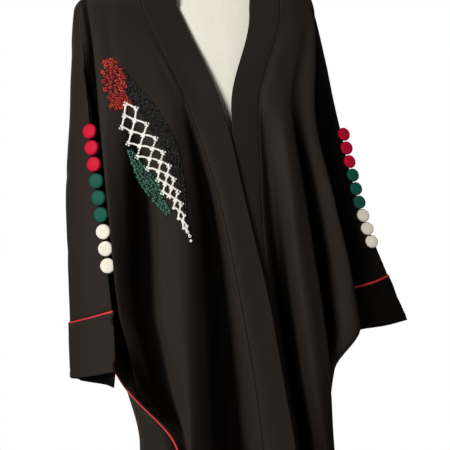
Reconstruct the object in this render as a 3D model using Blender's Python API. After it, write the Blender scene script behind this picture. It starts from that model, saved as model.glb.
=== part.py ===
"""Abaya of butterfly cut on a limbless dress form.

Metres, +Z up. The garment's front faces -Y and the wearer's left is +X.
The origin is the middle of the underside of the floor disc.
The tables are in millimetres, because a tailor's sizes are.
"""

import math

import bmesh
import bpy
from mathutils import Matrix, Vector

# Driving sizes, in metres
WALL = 0.0014  # cloth
BAND_WALL = 0.0022  # doubled cloth of the front bands and the cuffs
SEAM_GAP = 0.0003  # between neighbouring pieces
PIPING_RADIUS = 0.0023
PIPING_START = 0.016  # below the cuff seam
PIPING_SINK = 0.0004  # how far the piping's middle lies under the cloth's face
BUTTON_DIAMETER = 0.024
BUTTON_HEIGHT = 0.0085
BUTTONS_PER_SLEEVE = 9
ROW_STEP_UPPER = 0.050
ROW_STEP_LOWER = 0.100

# Shoulder line: the over-arm seam's first stretch, from the neck outwards
NECK_POINT_X = 0.072
NECK_POINT_Z = 1.462
SHOULDER_Y = 0.008
SHOULDER_SLOPE = 0.30
BAND_SEAM_X = 0.128
SHOULDER_TIP_X = 0.185
SHOULDER_ROUND = 0.019  # how far the cloth bulges between the shoulder seam and the neck height
BULGE_OUT = 0.75  # shares of that to the front or back, and upwards
BULGE_UP = 0.65
SHOULDER_TIP_LEAN = 0.8  # the cloth at the shoulder tip faces outwards by this much
SHOULDER_TIP_RISE = 0.6  # and upwards by this much
BACK_NECK_SEAM_Y = 0.090
BACK_NECK_SEAM_DROP = 0.012
BACK_NECK_EDGE_Y = 0.060
BACK_NECK_RISE = 0.008
BACK_NECK_SLOPE = 0.55

# Heights of the sections, in metres: the names are the tables' columns
HEIGHTS = {
    "neck": 1.385, "chest": 1.20, "waist": 1.05, "cuff": 0.89, "fall": 0.83, "wing": 0.76, "low": 0.65, "hem": 0.05,
}
SHOULDER = 1.445

# One row for each line that runs down the cloth: crests, troughs, folds and seams.
# Its first numbers are places across (+ is the wearer's left), the second ones depths (- is forwards),
# at the heights neck, chest, waist, cuff, fall, wing, low and hem. Lines of a sleeve end at the cuff.
RIGHT_FRONT = (
    ("edge", (-60, -9, 16, 46, 54, 63, 76, 104), (-52, -128, -148, -155, -157, -159, -162, -190)),
    ("band_seam", (-120, -63, -26, 0, 8, 17, 26, 52), (-54, -124, -145, -151, -152, -153, -155, -184)),
    ("trough", (-130, -69, -40, -27, -24, -21, -17, 12), (-54, -123, -120, -112, -109, -106, -102, -150)),
    ("crest", (-140, -84, -79, -86, -89, -92, -94, -62), (-54, -129, -146, -152, -155, -158, -160, -186)),
    ("panel", (-163, -135, -122, -124, -117, -108, -95, -102), (-54, -124, -138, -138, -139, -140, -149, -174)),
    ("side_trough", (-184, -160, -146, -142, -130, -117, -92, -134), (-52, -117, -100, -77, -69, -67, -136, -158)),
    ("outer_crest", (-206, -204, -198, -186, -172, -152, -89, -158), (-46, -110, -120, -94, -80, -74, -124, -148)),
    ("under_arm", (-206, -182, -168, -164, -164, -160, -90, -176), (-34, -62, -58, -44, -52, -60, -110, -130)),
    ("side_seam", (-206, -192, -198, -240, -213, -176, -100, -190), (-24, -46, -34, 1, -20, -46, -92, -112)),
    ("sleeve_inner", (-213, -203, -194, -204), (-12, -54, -70, -46)),
    ("over_arm", (-218, -216, -206, -194), (-2, -62, -82, -90)),
)
RIGHT_BACK = (
    ("sleeve_face", (-224, -232, -238, -232), (14, -38, -54, -60)),
    ("sleeve_edge", (-222, -241, -253, -255), (28, 0, -8, -12)),
    ("side_seam", (-213, -230, -238, -240, -213, -176, -100, -190), (42, 36, 28, 1, -20, -46, -92, -112)),
    ("flank", (-200, -216, -222, -214, -197, -170, -144, -236), (58, 66, 58, 28, 12, -4, -36, -40)),
    ("rear", (-172, -172, -178, -170, -165, -156, -132, -210), (76, 98, 96, 82, 72, 60, 46, 100)),
    ("back_fold", (-96, -92, -92, -90, -88, -86, -80, -108), (96, 117, 104, 88, 81, 74, 64, 96)),
)
CENTRE_BACK = ("centre", (0, 0, 0, 0, 0, 0, 0, 0), (102, 116, 114, 112, 110, 108, 104, 162))
LEFT_BACK = (
    ("back_fold", (96, 92, 94, 92, 88, 84, 76, 92), (96, 117, 106, 92, 86, 80, 72, 112)),
    ("rear", (172, 172, 178, 172, 168, 164, 152, 206), (76, 98, 96, 80, 73, 66, 56, 110)),
    ("flank", (196, 210, 222, 216, 212, 178, 166, 246), (58, 66, 60, 6, -8, -18, -22, 10)),
    ("side_seam", (208, 224, 238, 230, 225, 184, 164, 238), (42, 46, 34, -52, -60, -68, -60, -40)),
    ("sleeve_edge", (212, 238, 264, 278), (28, 24, 22, -12)),
    ("sleeve_face", (212, 242, 274, 313), (14, 4, 4, -2)),
)
LEFT_FRONT = (
    ("over_arm", (206, 237, 268, 321), (-2, -16, -22, -22)),
    ("sleeve_inner", (202, 216, 236, 276), (-14, -44, -54, -50)),
    ("side_seam", (196, 190, 206, 230, 225, 184, 164, 238), (-24, -58, -58, -54, -60, -68, -60, -40)),
    ("under_arm", (191, 168, 190, 227, 231, 181, 166, 242), (-33, -66, -60, -74, -84, -83, -78, -64)),
    ("outer_crest", (184, 154, 182, 212, 214, 171, 165, 242), (-43, -111, -112, -106, -106, -94, -94, -86)),
    ("side_trough", (172, 120, 142, 162, 166, 158, 160, 238), (-48, -112, -95, -81, -92, -100, -110, -108)),
    ("ridge_wall", (160, 107, 121, 140, 147, 153, 155, 222), (-52, -122, -132, -134, -133, -132, -130, -134)),
    ("ridge", (148, 90, 95, 105, 112, 119, 133, 188), (-54, -126, -142, -146, -147, -148, -148, -168)),
    ("trough", (132, 62, 68, 84, 91, 99, 114, 146), (-54, -121, -117, -107, -104, -102, -98, -142)),
    ("band_seam", (121, 53, 48, 52, 56, 62, 75, 103), (-54, -119, -132, -138, -140, -142, -144, -172)),
    ("edge", (66, 6, 2, 7, 12, 20, 32, 60), (-52, -122, -141, -145, -146, -147, -150, -180)),
)
STEPS = 3  # stretches between two neighbouring lines
BAND_STEPS = 2
SAME_WAY = 0.6  # two pulls at a corner count as one where the cosine between them is larger
CUFF_ROWS = 3
TURNED_SEGMENTS = 32
POLE_SEGMENTS = 20
MIN_SLANT = 0.35  # a seam is never taken to meet a row at a sharper slant than this sine

# The dress form: heights, half widths, and depths to the front and to the back, in millimetres
FORM_SECTIONS = (
    ("neck_top", 1505, 56, 44, 52),
    ("neck", 1475, 56, 36, 48),
    ("neck_base", 1454.5, 60, 30, 44),
    ("shoulder", 1440.7, 104, 24, 40),
    ("shoulder_end", 1426, 154, 30, 44),
    ("arm_top", 1405, 177, 36, 60),
    ("arm", 1380, 184, 46, 76),
    ("arm_low", 1300, 172, 80, 94),
    ("bust", 1200, 148, 105, 104),
    ("under_bust", 1130, 136, 103, 100),
    ("waist", 1050, 122, 90, 90),
    ("high_hip", 960, 138, 94, 96),
    ("hip", 880, 142, 94, 96),
    ("foot", 790, 124, 82, 84),
    ("underside", 780, 112, 74, 76),
)
FORM_SQUARENESS = 2.25
FORM_SEGMENTS = 28
POLE_RADIUS = 0.016
BASE_RADIUS = 0.165
BASE_HEIGHT = 0.018
HUB_RADIUS = 0.030
HUB_HEIGHT = 0.030
CAP_RADIUS = 0.050
CAP_HEIGHT = 0.014
KNOB_RADIUS = 0.014
KNOB_NECK_RADIUS = 0.0072
KNOB_HEIGHT = 0.030

# Buttons: height of the topmost one's middle on each sleeve, and their spacing along the seam
BUTTON_TOP = {"right": 1.174, "left": 1.163}
BUTTON_PITCH = {"right": 0.027, "left": 0.0249}
BUTTON_TURN = {"right": 0, "left": 48}  # degrees by which they turn from the seam to the front
BUTTON_INSET = {"right": 0.0, "left": 0.65}  # how far in front of the seam they are sewn, as a share
BUTTON_BACK = 0.25  # the back's bulge, as a share of the dome's
BUTTON_SIDES = 10
BUTTON_RINGS = 6
BUTTON_COLOURS = ("red", "green", "cream")
BUTTON_LIFT = 0.0004

# The beaded patch on the wearer's right chest: a spindle between two points of the front, with four fields
PATCH_TOP = (-0.188, 1.290)
PATCH_TIP = (-0.071, 0.986)
PATCH_HALF_WIDTH = 0.036
PATCH_BOW = 0.004  # how far its middle line sways to each side
PATCH_WALL = 0.0010
PATCH_LIFT = 0.0014
PATCH_STEP = 0.008

# Cuffs: how far each end's lower edge lies from its upper edge, in millimetres
CUFF_DROP = {
    "right": {"over_arm": (0, 0, -94), "side_seam": (-2, 0, -88)},
    "left": {"over_arm": (32, -2, -83), "side_seam": (12, 2, -74)},
}
# The right cuff's layer towards the body hangs lower by this beside the over-arm seam and at the side seam
RIGHT_CUFF_LONGER = (0.028, 0.015)
RIGHT_CUFF_EASE = 0.12  # over this share of the cuff's width from the over-arm seam
# The cuff seam isn't level: how far its points lie above or below the cuff height, in millimetres
CUFF_TILT = {
    "right": {"sleeve_inner": -11, "over_arm": -3, "sleeve_face": -15, "sleeve_edge": -24, "side_seam": -19},
    "left": {"sleeve_inner": 12, "over_arm": 20, "sleeve_face": 24, "sleeve_edge": 14, "side_seam": 4},
}


def metres(values):
    return [v / 1000 for v in values]


def monotone(xs, ys, x):
    """A smooth curve through (xs, ys) that never swings past its points; xs falls."""
    if x >= xs[0]:
        return ys[0]
    if x <= xs[-1]:
        return ys[-1]
    n = len(xs)
    slopes = [(ys[i + 1] - ys[i]) / (xs[i + 1] - xs[i]) for i in range(n - 1)]
    tangents = [slopes[0]]
    for i in range(1, n - 1):
        a, b = slopes[i - 1], slopes[i]
        tangents.append(0 if a * b <= 0 else 2 * a * b / (a + b))
    tangents.append(slopes[-1])
    k = next(i for i in range(n - 1) if x >= xs[i + 1])
    h = xs[k + 1] - xs[k]
    s = (x - xs[k]) / h
    return (
        (2 * s**3 - 3 * s**2 + 1) * ys[k]
        + (s**3 - 2 * s**2 + s) * h * tangents[k]
        + (3 * s**2 - 2 * s**3) * ys[k + 1]
        + (s**3 - s**2) * h * tangents[k + 1]
    )


def shoulder_point(x):
    """A point of the shoulder seam."""
    return Vector((x, SHOULDER_Y, NECK_POINT_Z - (abs(x) - NECK_POINT_X) * SHOULDER_SLOPE))


def top_normal(point):
    """Where the cloth lies on the shoulders and round the back neck, it slopes outwards."""
    rise = (point.y - SHOULDER_Y) / (BACK_NECK_SEAM_Y - SHOULDER_Y)
    side = math.sqrt(max(0, 1 - rise * rise))
    return Vector((math.copysign(SHOULDER_SLOPE * side, point.x), BACK_NECK_SLOPE * rise, 1)).normalized()


def neck_seam_point(angle):
    """A point of the seam between the back and the neck band; angle 0 is the wearer's left."""
    return Vector((
        BAND_SEAM_X * math.cos(angle),
        SHOULDER_Y + (BACK_NECK_SEAM_Y - SHOULDER_Y) * math.sin(angle),
        shoulder_point(BAND_SEAM_X).z - BACK_NECK_SEAM_DROP * math.sin(angle),
    ))


class Line:
    """One line down the cloth, as a point for each height."""

    def __init__(self, side, row, top):
        self.side = side
        self.name, xs, ys = row
        names = list(HEIGHTS)[: len(xs)]
        levels = [HEIGHTS[n] for n in names]
        tilt = CUFF_TILT.get(side, {}).get(self.name, 0) / 1000
        heights = [HEIGHTS[n] + (tilt if n == "cuff" else 0) for n in names]
        self.levels = [SHOULDER] + levels
        self.top = top
        start = top_point(top)
        self.xs = [start.x] + metres(xs)
        self.ys = [start.y] + metres(ys)
        self.zs = [start.z] + heights

    def at(self, level):
        return Vector([monotone(self.levels, v, level) for v in (self.xs, self.ys, self.zs)])


def top_point(top):
    """A point of the cloth's upper seam: on a shoulder, as its place across, or on the back neck, as its angle."""
    kind, value = top
    return shoulder_point(value) if kind == "shoulder" else neck_seam_point(value)


def make_lines():
    """All lines of the ring in order, from the right front's edge round the back to the left front's edge."""

    def front_tops(rows, sign):
        seams = [row[0] for row in rows if row[0] != "edge"]
        if seams[0] != "band_seam":
            seams.reverse()
        tops = {"edge": ("shoulder", sign * NECK_POINT_X)}
        for i, name in enumerate(seams):
            x = BAND_SEAM_X + (SHOULDER_TIP_X - BAND_SEAM_X) * i / (len(seams) - 1)
            tops[name] = ("shoulder", sign * x)
        return tops

    def back_tops(sign):
        tops = {}
        for i, name in enumerate(("over_arm", "sleeve_face", "sleeve_edge", "side_seam")):
            tops[name] = ("shoulder", sign * (SHOULDER_TIP_X + (BAND_SEAM_X - SHOULDER_TIP_X) * i / 3))
        for i, name in enumerate(("flank", "rear", "back_fold")):
            angle = math.pi / 2 * (i + 1) / 4
            tops[name] = ("neck", angle if sign > 0 else math.pi - angle)
        return tops

    lines = []
    for side, rows, tops in (
        ("right", RIGHT_FRONT, front_tops(RIGHT_FRONT, -1)),
        ("right", RIGHT_BACK, back_tops(-1)),
        ("centre", (CENTRE_BACK,), {"centre": ("neck", math.pi / 2)}),
        ("left", LEFT_BACK, back_tops(1)),
        ("left", LEFT_FRONT, front_tops(LEFT_FRONT, 1)),
    ):
        lines += [Line(side, row, tops[row[0]]) for row in rows]
    return lines


def section_point(points, k, s):
    """A point between points k and k + 1 on a smooth section through all of them."""
    p1, p2 = points[k], points[k + 1]
    p0 = points[k - 1] if k > 0 else p1 * 2 - p2
    p3 = points[k + 2] if k + 2 < len(points) else p2 * 2 - p1
    d1 = max((p1 - p0).length, 1e-6) ** 0.5
    d2 = max((p2 - p1).length, 1e-6) ** 0.5
    d3 = max((p3 - p2).length, 1e-6) ** 0.5
    m1 = ((p1 - p0) / d1 - (p2 - p0) / (d1 + d2) + (p2 - p1) / d2) * d2
    m2 = ((p2 - p1) / d2 - (p3 - p1) / (d2 + d3) + (p3 - p2) / d3) * d2
    return (
        p1 * (2 * s**3 - 3 * s**2 + 1)
        + m1 * (s**3 - 2 * s**2 + s)
        + p2 * (3 * s**2 - 2 * s**3)
        + m2 * (s**3 - s**2)
    )


class Ring:
    """The whole cloth as rows of points, each row a section from the right front's edge to the left front's."""

    def __init__(self):
        self.lines = make_lines()
        names = [(line.side, line.name) for line in self.lines]
        self.index = {}
        for i, (side, name) in enumerate(names):
            self.index.setdefault((side, name), []).append(i)
        self.levels = self.make_levels()
        self.cuff_row = next(j for j, v in enumerate(self.levels) if v == HEIGHTS["cuff"])
        self.rows = [self.make_row(j) for j in range(len(self.levels))]
        self.normals = [self.make_normals(j) for j in range(len(self.levels))]

    def make_levels(self):
        stops = (
            (SHOULDER, HEIGHTS["neck"], 0.022),
            (HEIGHTS["neck"], HEIGHTS["cuff"], ROW_STEP_UPPER),
            (HEIGHTS["cuff"], HEIGHTS["low"], ROW_STEP_UPPER),
            (HEIGHTS["low"], HEIGHTS["hem"], ROW_STEP_LOWER),
        )
        levels = []
        for top, bottom, step in stops:
            count = math.ceil((top - bottom) / step)
            levels += [top + (bottom - top) * i / count for i in range(count)]
        return levels + [HEIGHTS["hem"]]

    def over_arm(self, side):
        return self.index[(side, "over_arm")][0]

    def seams(self, side):
        """The places of a side's two side_seam lines: the front's and the back's."""
        return self.index[(side, "side_seam")]

    def make_row(self, j):
        level = self.levels[j]
        keep = list(range(len(self.lines)))
        if j > self.cuff_row:
            for side in ("right", "left"):
                first, last = sorted(self.seams(side))
                keep = [i for i in keep if not first < i <= last]
        row = {}
        seams = [n for n, i in enumerate(keep) if self.lines[i].name == "over_arm"]
        starts, ends = [0] + seams, seams + [len(keep) - 1]
        for first, last in zip(starts, ends):
            stretch = keep[first : last + 1]
            points = [self.lines[i].at(level) for i in stretch]
            for k, i in enumerate(stretch[:-1]):
                after = stretch[k + 1]
                steps = BAND_STEPS if "edge" in (self.lines[i].name, self.lines[after].name) else STEPS
                for s in range(steps):
                    if j == 0:
                        row[(i, s)] = top_point(self.top_between(i, after, s / steps))
                    else:
                        row[(i, s)] = section_point(points, k, s / steps)
        row[(keep[-1], 0)] = self.lines[keep[-1]].at(level)
        if HEIGHTS["neck"] < level < SHOULDER:
            bulge = SHOULDER_ROUND * math.sin(math.pi * (SHOULDER - level) / (SHOULDER - HEIGHTS["neck"]))
            crests = [row[(self.over_arm(side), 0)].y for side in ("right", "left")]
            for point in row.values():
                lean = max(-1, min(1, (point.y - crests[point.x > 0]) / SHOULDER_ROUND))
                point += Vector((0, BULGE_OUT * lean, BULGE_UP * abs(lean))) * bulge
        if j > self.cuff_row:
            for side in ("right", "left"):
                first, last = sorted(self.seams(side))
                row[(last, 0)] = row[(first, 0)]
                for s in range(1, STEPS):
                    row[(last, s)] = row.pop((first, s))
        return dict(sorted(row.items()))

    def top_between(self, i, after, share):
        """A place on the upper seam between two lines."""
        here, there = self.lines[i].top, self.lines[after].top
        if here[0] == there[0]:
            return (here[0], here[1] + (there[1] - here[1]) * share)
        start = math.pi if self.lines[i].side == "right" else 0
        a = start if here[0] == "shoulder" else here[1]
        b = start if there[0] == "shoulder" else there[1]
        return ("neck", a + (b - a) * share)

    def make_normals(self, j):
        row = self.rows[j]
        keys = list(row)
        normals = {}
        for n, key in enumerate(keys):
            here = row[key]
            before = next((row[k] for k in reversed(keys[:n]) if (row[k] - here).length > 1e-5), here)
            after = next((row[k] for k in keys[n + 1 :] if (row[k] - here).length > 1e-5), here)
            up = self.rows[j - 1][key] if j > 0 else here
            down = self.rows[j + 1][key] if j + 1 < len(self.rows) and key in self.rows[j + 1] else here
            across = after - before
            if 0 < n < len(keys) - 1:
                across = (after - here).normalized() + (here - before).normalized()
            normals[key] = across.cross(down - up).normalized()
        if j == 0:
            for key in keys:
                normals[key] = top_normal(row[key])
            for side, out in (("right", -1), ("left", 1)):
                tip = Vector((out * SHOULDER_TIP_LEAN, 0, SHOULDER_TIP_RISE))
                normals[(self.over_arm(side), 0)] = tip.normalized()
        if j == self.cuff_row:
            for side in ("right", "left"):
                front, back = self.seams(side) if side == "right" else reversed(self.seams(side))
                apart = self.rows[j - 1][(front, 0)] - self.rows[j - 1][(back, 0)]
                apart = Vector((apart.x, apart.y, 0)).normalized()
                normals[(front, 0)] = (apart - Vector((0, 0, 1))).normalized()
                normals[(back, 0)] = (-apart - Vector((0, 0, 1))).normalized()
        return normals

    def name(self, key):
        return self.lines[key[0]].name


def material(name, colour, roughness, metallic=0.0):
    made = bpy.data.materials.get(name) or bpy.data.materials.new(name)
    made.use_nodes = True
    shader = made.node_tree.nodes["Principled BSDF"]
    shader.inputs["Base Color"].default_value = (*colour, 1)
    shader.inputs["Roughness"].default_value = roughness
    shader.inputs["Metallic"].default_value = metallic
    return made


def link(collection, obj, finish):
    collection.objects.link(obj)
    obj.data.materials.append(finish)
    return obj


def mesh_object(collection, name, points, faces, finish):
    mesh = bpy.data.meshes.new(name)
    mesh.from_pydata([tuple(p) for p in points], [], faces)
    mesh.validate()
    mesh.update()
    mesh.shade_smooth()
    return link(collection, bpy.data.objects.new(name, mesh), finish)


def wall(collection, name, points, normals, quads, trim, thickness, finish, across=None):
    """A wall of cloth: quads of outer points, drawn back at their open edges by trim(a, b), with an inner side.

    Where across is given, the points of row 0 are drawn back along it and not along the cloth.
    """
    owners = {}
    for quad in quads:
        for n in range(4):
            owners.setdefault(frozenset((quad[n], quad[(n + 1) % 4])), []).append((quad, n))
    rims = [found[0] for found in owners.values() if len(found) == 1]
    pulls = {}
    for quad, n in rims:
        a, b = quad[n], quad[(n + 1) % 4]
        amount = trim(a, b)
        edge = (points[b] - points[a]).normalized()
        for corner, inner in ((a, quad[n - 1]), (b, quad[(n + 2) % 4])):
            pull = (points[inner] - points[corner]).normalized()
            pull *= amount / max(MIN_SLANT, pull.cross(edge).length)
            if across and a[0] == b[0] == 0:
                pull = across(points[corner]) * amount
            pulls.setdefault(corner, []).append(pull)
    outer = {key: Vector(p) for key, p in points.items()}
    for corner, found in pulls.items():
        found = [pull for pull in found if pull.length] or [Vector()]
        first = found[0]
        second = next((p for p in found[1:] if p.normalized().dot(first.normalized()) < SAME_WAY), None)
        same = [p for p in found if p is not second]
        outer[corner] += sum(same, Vector()) / len(same) + (second or Vector())
    order = list(outer)
    places = {key: n for n, key in enumerate(order)}
    count = len(order)
    vertices = [outer[k] for k in order] + [outer[k] - normals[k] * thickness for k in order]
    faces = []
    for quad in quads:
        ids = [places[k] for k in quad]
        faces.append(ids)
        faces.append([i + count for i in reversed(ids)])
    for quad, n in rims:
        a, b = places[quad[n]], places[quad[(n + 1) % 4]]
        if quad[n] < quad[(n + 1) % 4]:  # both pieces at a seam split its rim along the same diagonal
            faces += [[b, a, b + count], [a, a + count, b + count]]
        else:
            faces += [[b, a, a + count], [b, a + count, b + count]]
    return mesh_object(collection, name, vertices, faces, finish)


def ring_quads(ring, inside):
    """The cells of the ring whose corners all pass inside(line place, row)."""
    quads = []
    for j in range(len(ring.rows) - 1):
        keys = [k for k in ring.rows[j] if k in ring.rows[j + 1]]
        for a, b in zip(keys, keys[1:]):
            if (ring.rows[j + 1][a] - ring.rows[j + 1][b]).length < 1e-6:
                continue
            if b[0] - a[0] > 1:
                continue
            if inside(a, b):
                quads.append(((j, a), (j, b), (j + 1, b), (j + 1, a)))
    return quads


def ring_piece(collection, ring, name, first, last, thickness, finish, rows=None):
    """A piece of the cloth between two lines of the ring, and between two of its rows."""

    def inside(a, b):
        return (first, 0) <= a and b <= (last, 0)

    piped = PIPING_RADIUS + SEAM_GAP
    hem = len(ring.rows) - 1
    top, bottom = rows or (0, hem)
    quads = [quad for quad in ring_quads(ring, inside) if top <= quad[0][0] < bottom]
    used = sorted({key for quad in quads for key in quad})
    points = {(j, k): ring.rows[j][k] for j, k in used}
    normals = {(j, k): ring.normals[j][k] for j, k in used}

    def trim(a, b):
        if a[1] == b[1]:
            is_edge = ring.name(a[1]) == "edge"
            return piped if ring.name(a[1]) == "side_seam" else 0 if is_edge else SEAM_GAP / 2
        if a[0] == ring.cuff_row:
            return piped
        return SEAM_GAP / 2 if a[0] in (top, bottom) and a[0] != hem else 0

    def across(point):
        """Away from the shoulder seam, or from the back neck seam."""
        if name != "back_upper":
            return Vector((0, -1, 0))
        if point.y > SHOULDER_Y + SEAM_GAP:
            depth = BACK_NECK_SEAM_Y - SHOULDER_Y
            return Vector((point.x / BAND_SEAM_X**2, (point.y - SHOULDER_Y) / depth**2, 0)).normalized()
        if abs(abs(point.x) - BAND_SEAM_X) < SEAM_GAP:
            return Vector((math.copysign(1, point.x), 1, 0))
        return Vector((0, 1, 0))

    return wall(collection, name, points, normals, quads, trim, thickness, finish, across)


def cuff_loop(ring, side):
    """The keys of a sleeve's lower end, from the front's side seam over the over-arm seam to the back's."""
    first, last = sorted(ring.seams(side))
    return [k for k in ring.rows[ring.cuff_row] if (first, 0) <= k < (last, 0)]


def longer(keys, i, over_arm, sleeve_edge, share):
    """How much lower the right cuff hangs at one of its points than the layer that faces outwards."""
    beside_over_arm, at_side_seam = RIGHT_CUFF_LONGER
    if keys[i] < over_arm:
        return min(1, (1 - share) / RIGHT_CUFF_EASE) * (at_side_seam + (beside_over_arm - at_side_seam) * share)
    edge = keys.index(sleeve_edge)
    return at_side_seam * max(0, i - edge) / (len(keys) - edge)


def cuff(collection, ring, side, finish):
    """A cuff: the sleeve's lower end drawn downwards, less where it is open. Returns its piping's path."""
    keys = cuff_loop(ring, side)
    j = ring.cuff_row
    loop = [ring.rows[j][k] for k in keys]
    over_arm_key = (ring.over_arm(side), 0)
    sleeve_edge_key = (ring.index[(side, "sleeve_edge")][0], 0)
    seam = loop[0]
    axis = ring.rows[j][over_arm_key] - seam
    drops = {end: Vector(metres(v)) for end, v in CUFF_DROP[side].items()}
    count = len(loop)
    points, normals = {}, {}
    middle = sum(loop, Vector()) / count
    for i in range(count):
        share = min(1, max(0, (loop[i] - seam).dot(axis) / axis.length_squared))
        drop = drops["side_seam"].lerp(drops["over_arm"], share)
        if side == "right":
            drop.z -= longer(keys, i, over_arm_key, sleeve_edge_key, share)
        along = (loop[(i + 1) % count] - loop[i]).normalized() + (loop[i] - loop[i - 1]).normalized()
        normal = along.cross(drop).normalized()
        for r in range(CUFF_ROWS + 1):
            points[(r, i)] = loop[i] + drop * r / CUFF_ROWS
            normals[(r, i)] = normal
    if (points[(0, 0)] - middle).dot(normals[(0, 0)]) < 0:
        normals = {k: -n for k, n in normals.items()}
    quads = []
    for r in range(CUFF_ROWS):
        for i in range(count):
            m = (i + 1) % count
            quads.append(((r, i), (r + 1, i), (r + 1, m), (r, m)))
    if (points[(0, 1)] - points[(0, 0)]).cross(points[(1, 0)] - points[(0, 0)]).dot(normals[(0, 0)]) > 0:
        quads = [quad[::-1] for quad in quads]

    def trim(a, b):
        return PIPING_RADIUS + SEAM_GAP if a[0] == b[0] == 0 else 0

    wall(collection, f"cuff_{side}", points, normals, quads, trim, BAND_WALL, finish)
    return [points[(0, i)] - normals[(0, i)] * PIPING_SINK for i in range(count)]


def tube(collection, name, path, radius, finish, closed=False):
    curve = bpy.data.curves.new(name, "CURVE")
    curve.dimensions = "3D"
    curve.bevel_depth = radius
    curve.bevel_resolution = 1
    curve.use_fill_caps = not closed
    curve.resolution_u = 1
    spline = curve.splines.new("POLY")
    spline.points.add(len(path) - 1)
    for point, place in zip(spline.points, path):
        point.co = (*place, 1)
    spline.use_cyclic_u = closed
    return link(collection, bpy.data.objects.new(name, curve), finish)


def neck_band(collection, ring, finish):
    """The band round the back of the neck, between the back's upper seam and its own edge."""
    first, last = sorted(ring.seams("right"))[1], sorted(ring.seams("left"))[0]
    keys = [k for k in ring.rows[0] if (first, 0) <= k <= (last, 0)]
    points, normals, quads = {}, {}, []
    for n, key in enumerate(keys):
        seam = ring.rows[0][key]
        angle = math.atan2((seam.y - SHOULDER_Y) / (BACK_NECK_SEAM_Y - SHOULDER_Y), seam.x / BAND_SEAM_X)
        edge = Vector((
            NECK_POINT_X * math.cos(angle),
            SHOULDER_Y + (BACK_NECK_EDGE_Y - SHOULDER_Y) * math.sin(angle),
            NECK_POINT_Z + BACK_NECK_RISE * math.sin(angle),
        ))
        for r in range(BAND_STEPS + 1):
            points[(r, n)] = edge.lerp(seam, r / BAND_STEPS)
            normals[(r, n)] = top_normal(seam)
    for n in range(len(keys) - 1):
        for r in range(BAND_STEPS):
            quads.append(((r, n), (r, n + 1), (r + 1, n + 1), (r + 1, n)))

    def trim(a, b):
        return 0 if a[0] == b[0] == 0 else SEAM_GAP / 2

    return wall(collection, "neck_band", points, normals, quads, trim, BAND_WALL, finish)


def side_piping(collection, ring, side, finish):
    """The piping of a side seam, from just under the cuff seam down to the hem."""
    key = (sorted(ring.seams(side))[0], 0)
    rows = range(ring.cuff_row, len(ring.rows))
    path = [ring.rows[j][key] - ring.normals[j][key] * PIPING_SINK for j in rows]
    share = PIPING_START / (path[1] - path[0]).length
    path[0] = path[0].lerp(path[1], share)
    return tube(collection, f"side_piping_{side}", path, PIPING_RADIUS, finish)


def button_mesh(finish):
    """A covered button: a dome with a rounded edge and a nearly flat back, its back's middle at its origin."""
    mesh = bpy.data.meshes.new(f"button_{finish.name}")
    shape = bmesh.new()
    bmesh.ops.create_uvsphere(shape, u_segments=BUTTON_SIDES, v_segments=BUTTON_RINGS, radius=1)
    for vertex in shape.verts:
        x, y, z = vertex.co
        z = z * BUTTON_BACK if z < 0 else z
        vertex.co = (
            x * BUTTON_DIAMETER / 2,
            y * BUTTON_DIAMETER / 2,
            (z + BUTTON_BACK) / (1 + BUTTON_BACK) * BUTTON_HEIGHT,
        )
    shape.to_mesh(mesh)
    shape.free()
    mesh.shade_smooth()
    mesh.materials.append(finish)
    return mesh


def seam_place(ring, key, length):
    """The point and the outward direction at a length along one of the ring's lines, measured downwards."""
    for j in range(len(ring.rows) - 1):
        here, there = ring.rows[j][key], ring.rows[j + 1][key]
        step = (there - here).length
        if length <= step:
            share = length / step
            return here.lerp(there, share), ring.normals[j][key].lerp(ring.normals[j + 1][key], share).normalized()
        length -= step
    raise ValueError("the seam is shorter than that")


def stand_off(ring, over_arm, place, outward):
    """How far off its place a button's back lies for its whole width to clear the sleeve."""
    reach = BUTTON_DIAMETER / 2
    bulge = BUTTON_BACK / (1 + BUTTON_BACK) * BUTTON_HEIGHT
    shares = [n / 5 for n in range(6)]
    highest = 0
    for j in range(ring.cuff_row):
        above, below = ring.rows[j], ring.rows[j + 1]
        keys = [k for k in above if k in below and over_arm - 1 <= k[0] <= over_arm + 1]
        for a, b in zip(keys, keys[1:]):
            for across in shares:
                upper, lower = above[a].lerp(above[b], across), below[a].lerp(below[b], across)
                for down in shares:
                    away = upper.lerp(lower, down) - place
                    height = away.dot(outward)
                    share = (away - outward * height).length / reach
                    if share < 1:
                        highest = max(highest, height - bulge * (1 - math.sqrt(1 - share * share)))
    return highest


def buttons(collection, ring, side, meshes):
    over_arm = ring.over_arm(side)
    key = (over_arm, 0)
    front_key = (over_arm - 1, 1) if side == "right" else (over_arm, STEPS - 1)
    start = 0
    for j in range(ring.cuff_row):
        here, there = ring.rows[j][key], ring.rows[j + 1][key]
        if there.z < BUTTON_TOP[side]:
            start += (there - here).length * (here.z - BUTTON_TOP[side]) / (here.z - there.z)
            break
        start += (there - here).length
    per_colour = BUTTONS_PER_SLEEVE // len(BUTTON_COLOURS)
    for n in range(BUTTONS_PER_SLEEVE):
        place, outward = seam_place(ring, key, start + n * BUTTON_PITCH[side])
        in_front, _ = seam_place(ring, front_key, start + n * BUTTON_PITCH[side])
        place = place.lerp(in_front, BUTTON_INSET[side])
        outward.rotate(Matrix.Rotation(-math.radians(BUTTON_TURN[side]), 3, "Z"))
        colour = BUTTON_COLOURS[n // per_colour]
        button = bpy.data.objects.new(f"button_{side}_{n + 1}", meshes[colour])
        button.rotation_mode = "QUATERNION"
        button.rotation_quaternion = outward.to_track_quat("Z", "Y")
        button.location = place + outward * (stand_off(ring, over_arm, place, outward) + BUTTON_LIFT)
        collection.objects.link(button)


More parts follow.
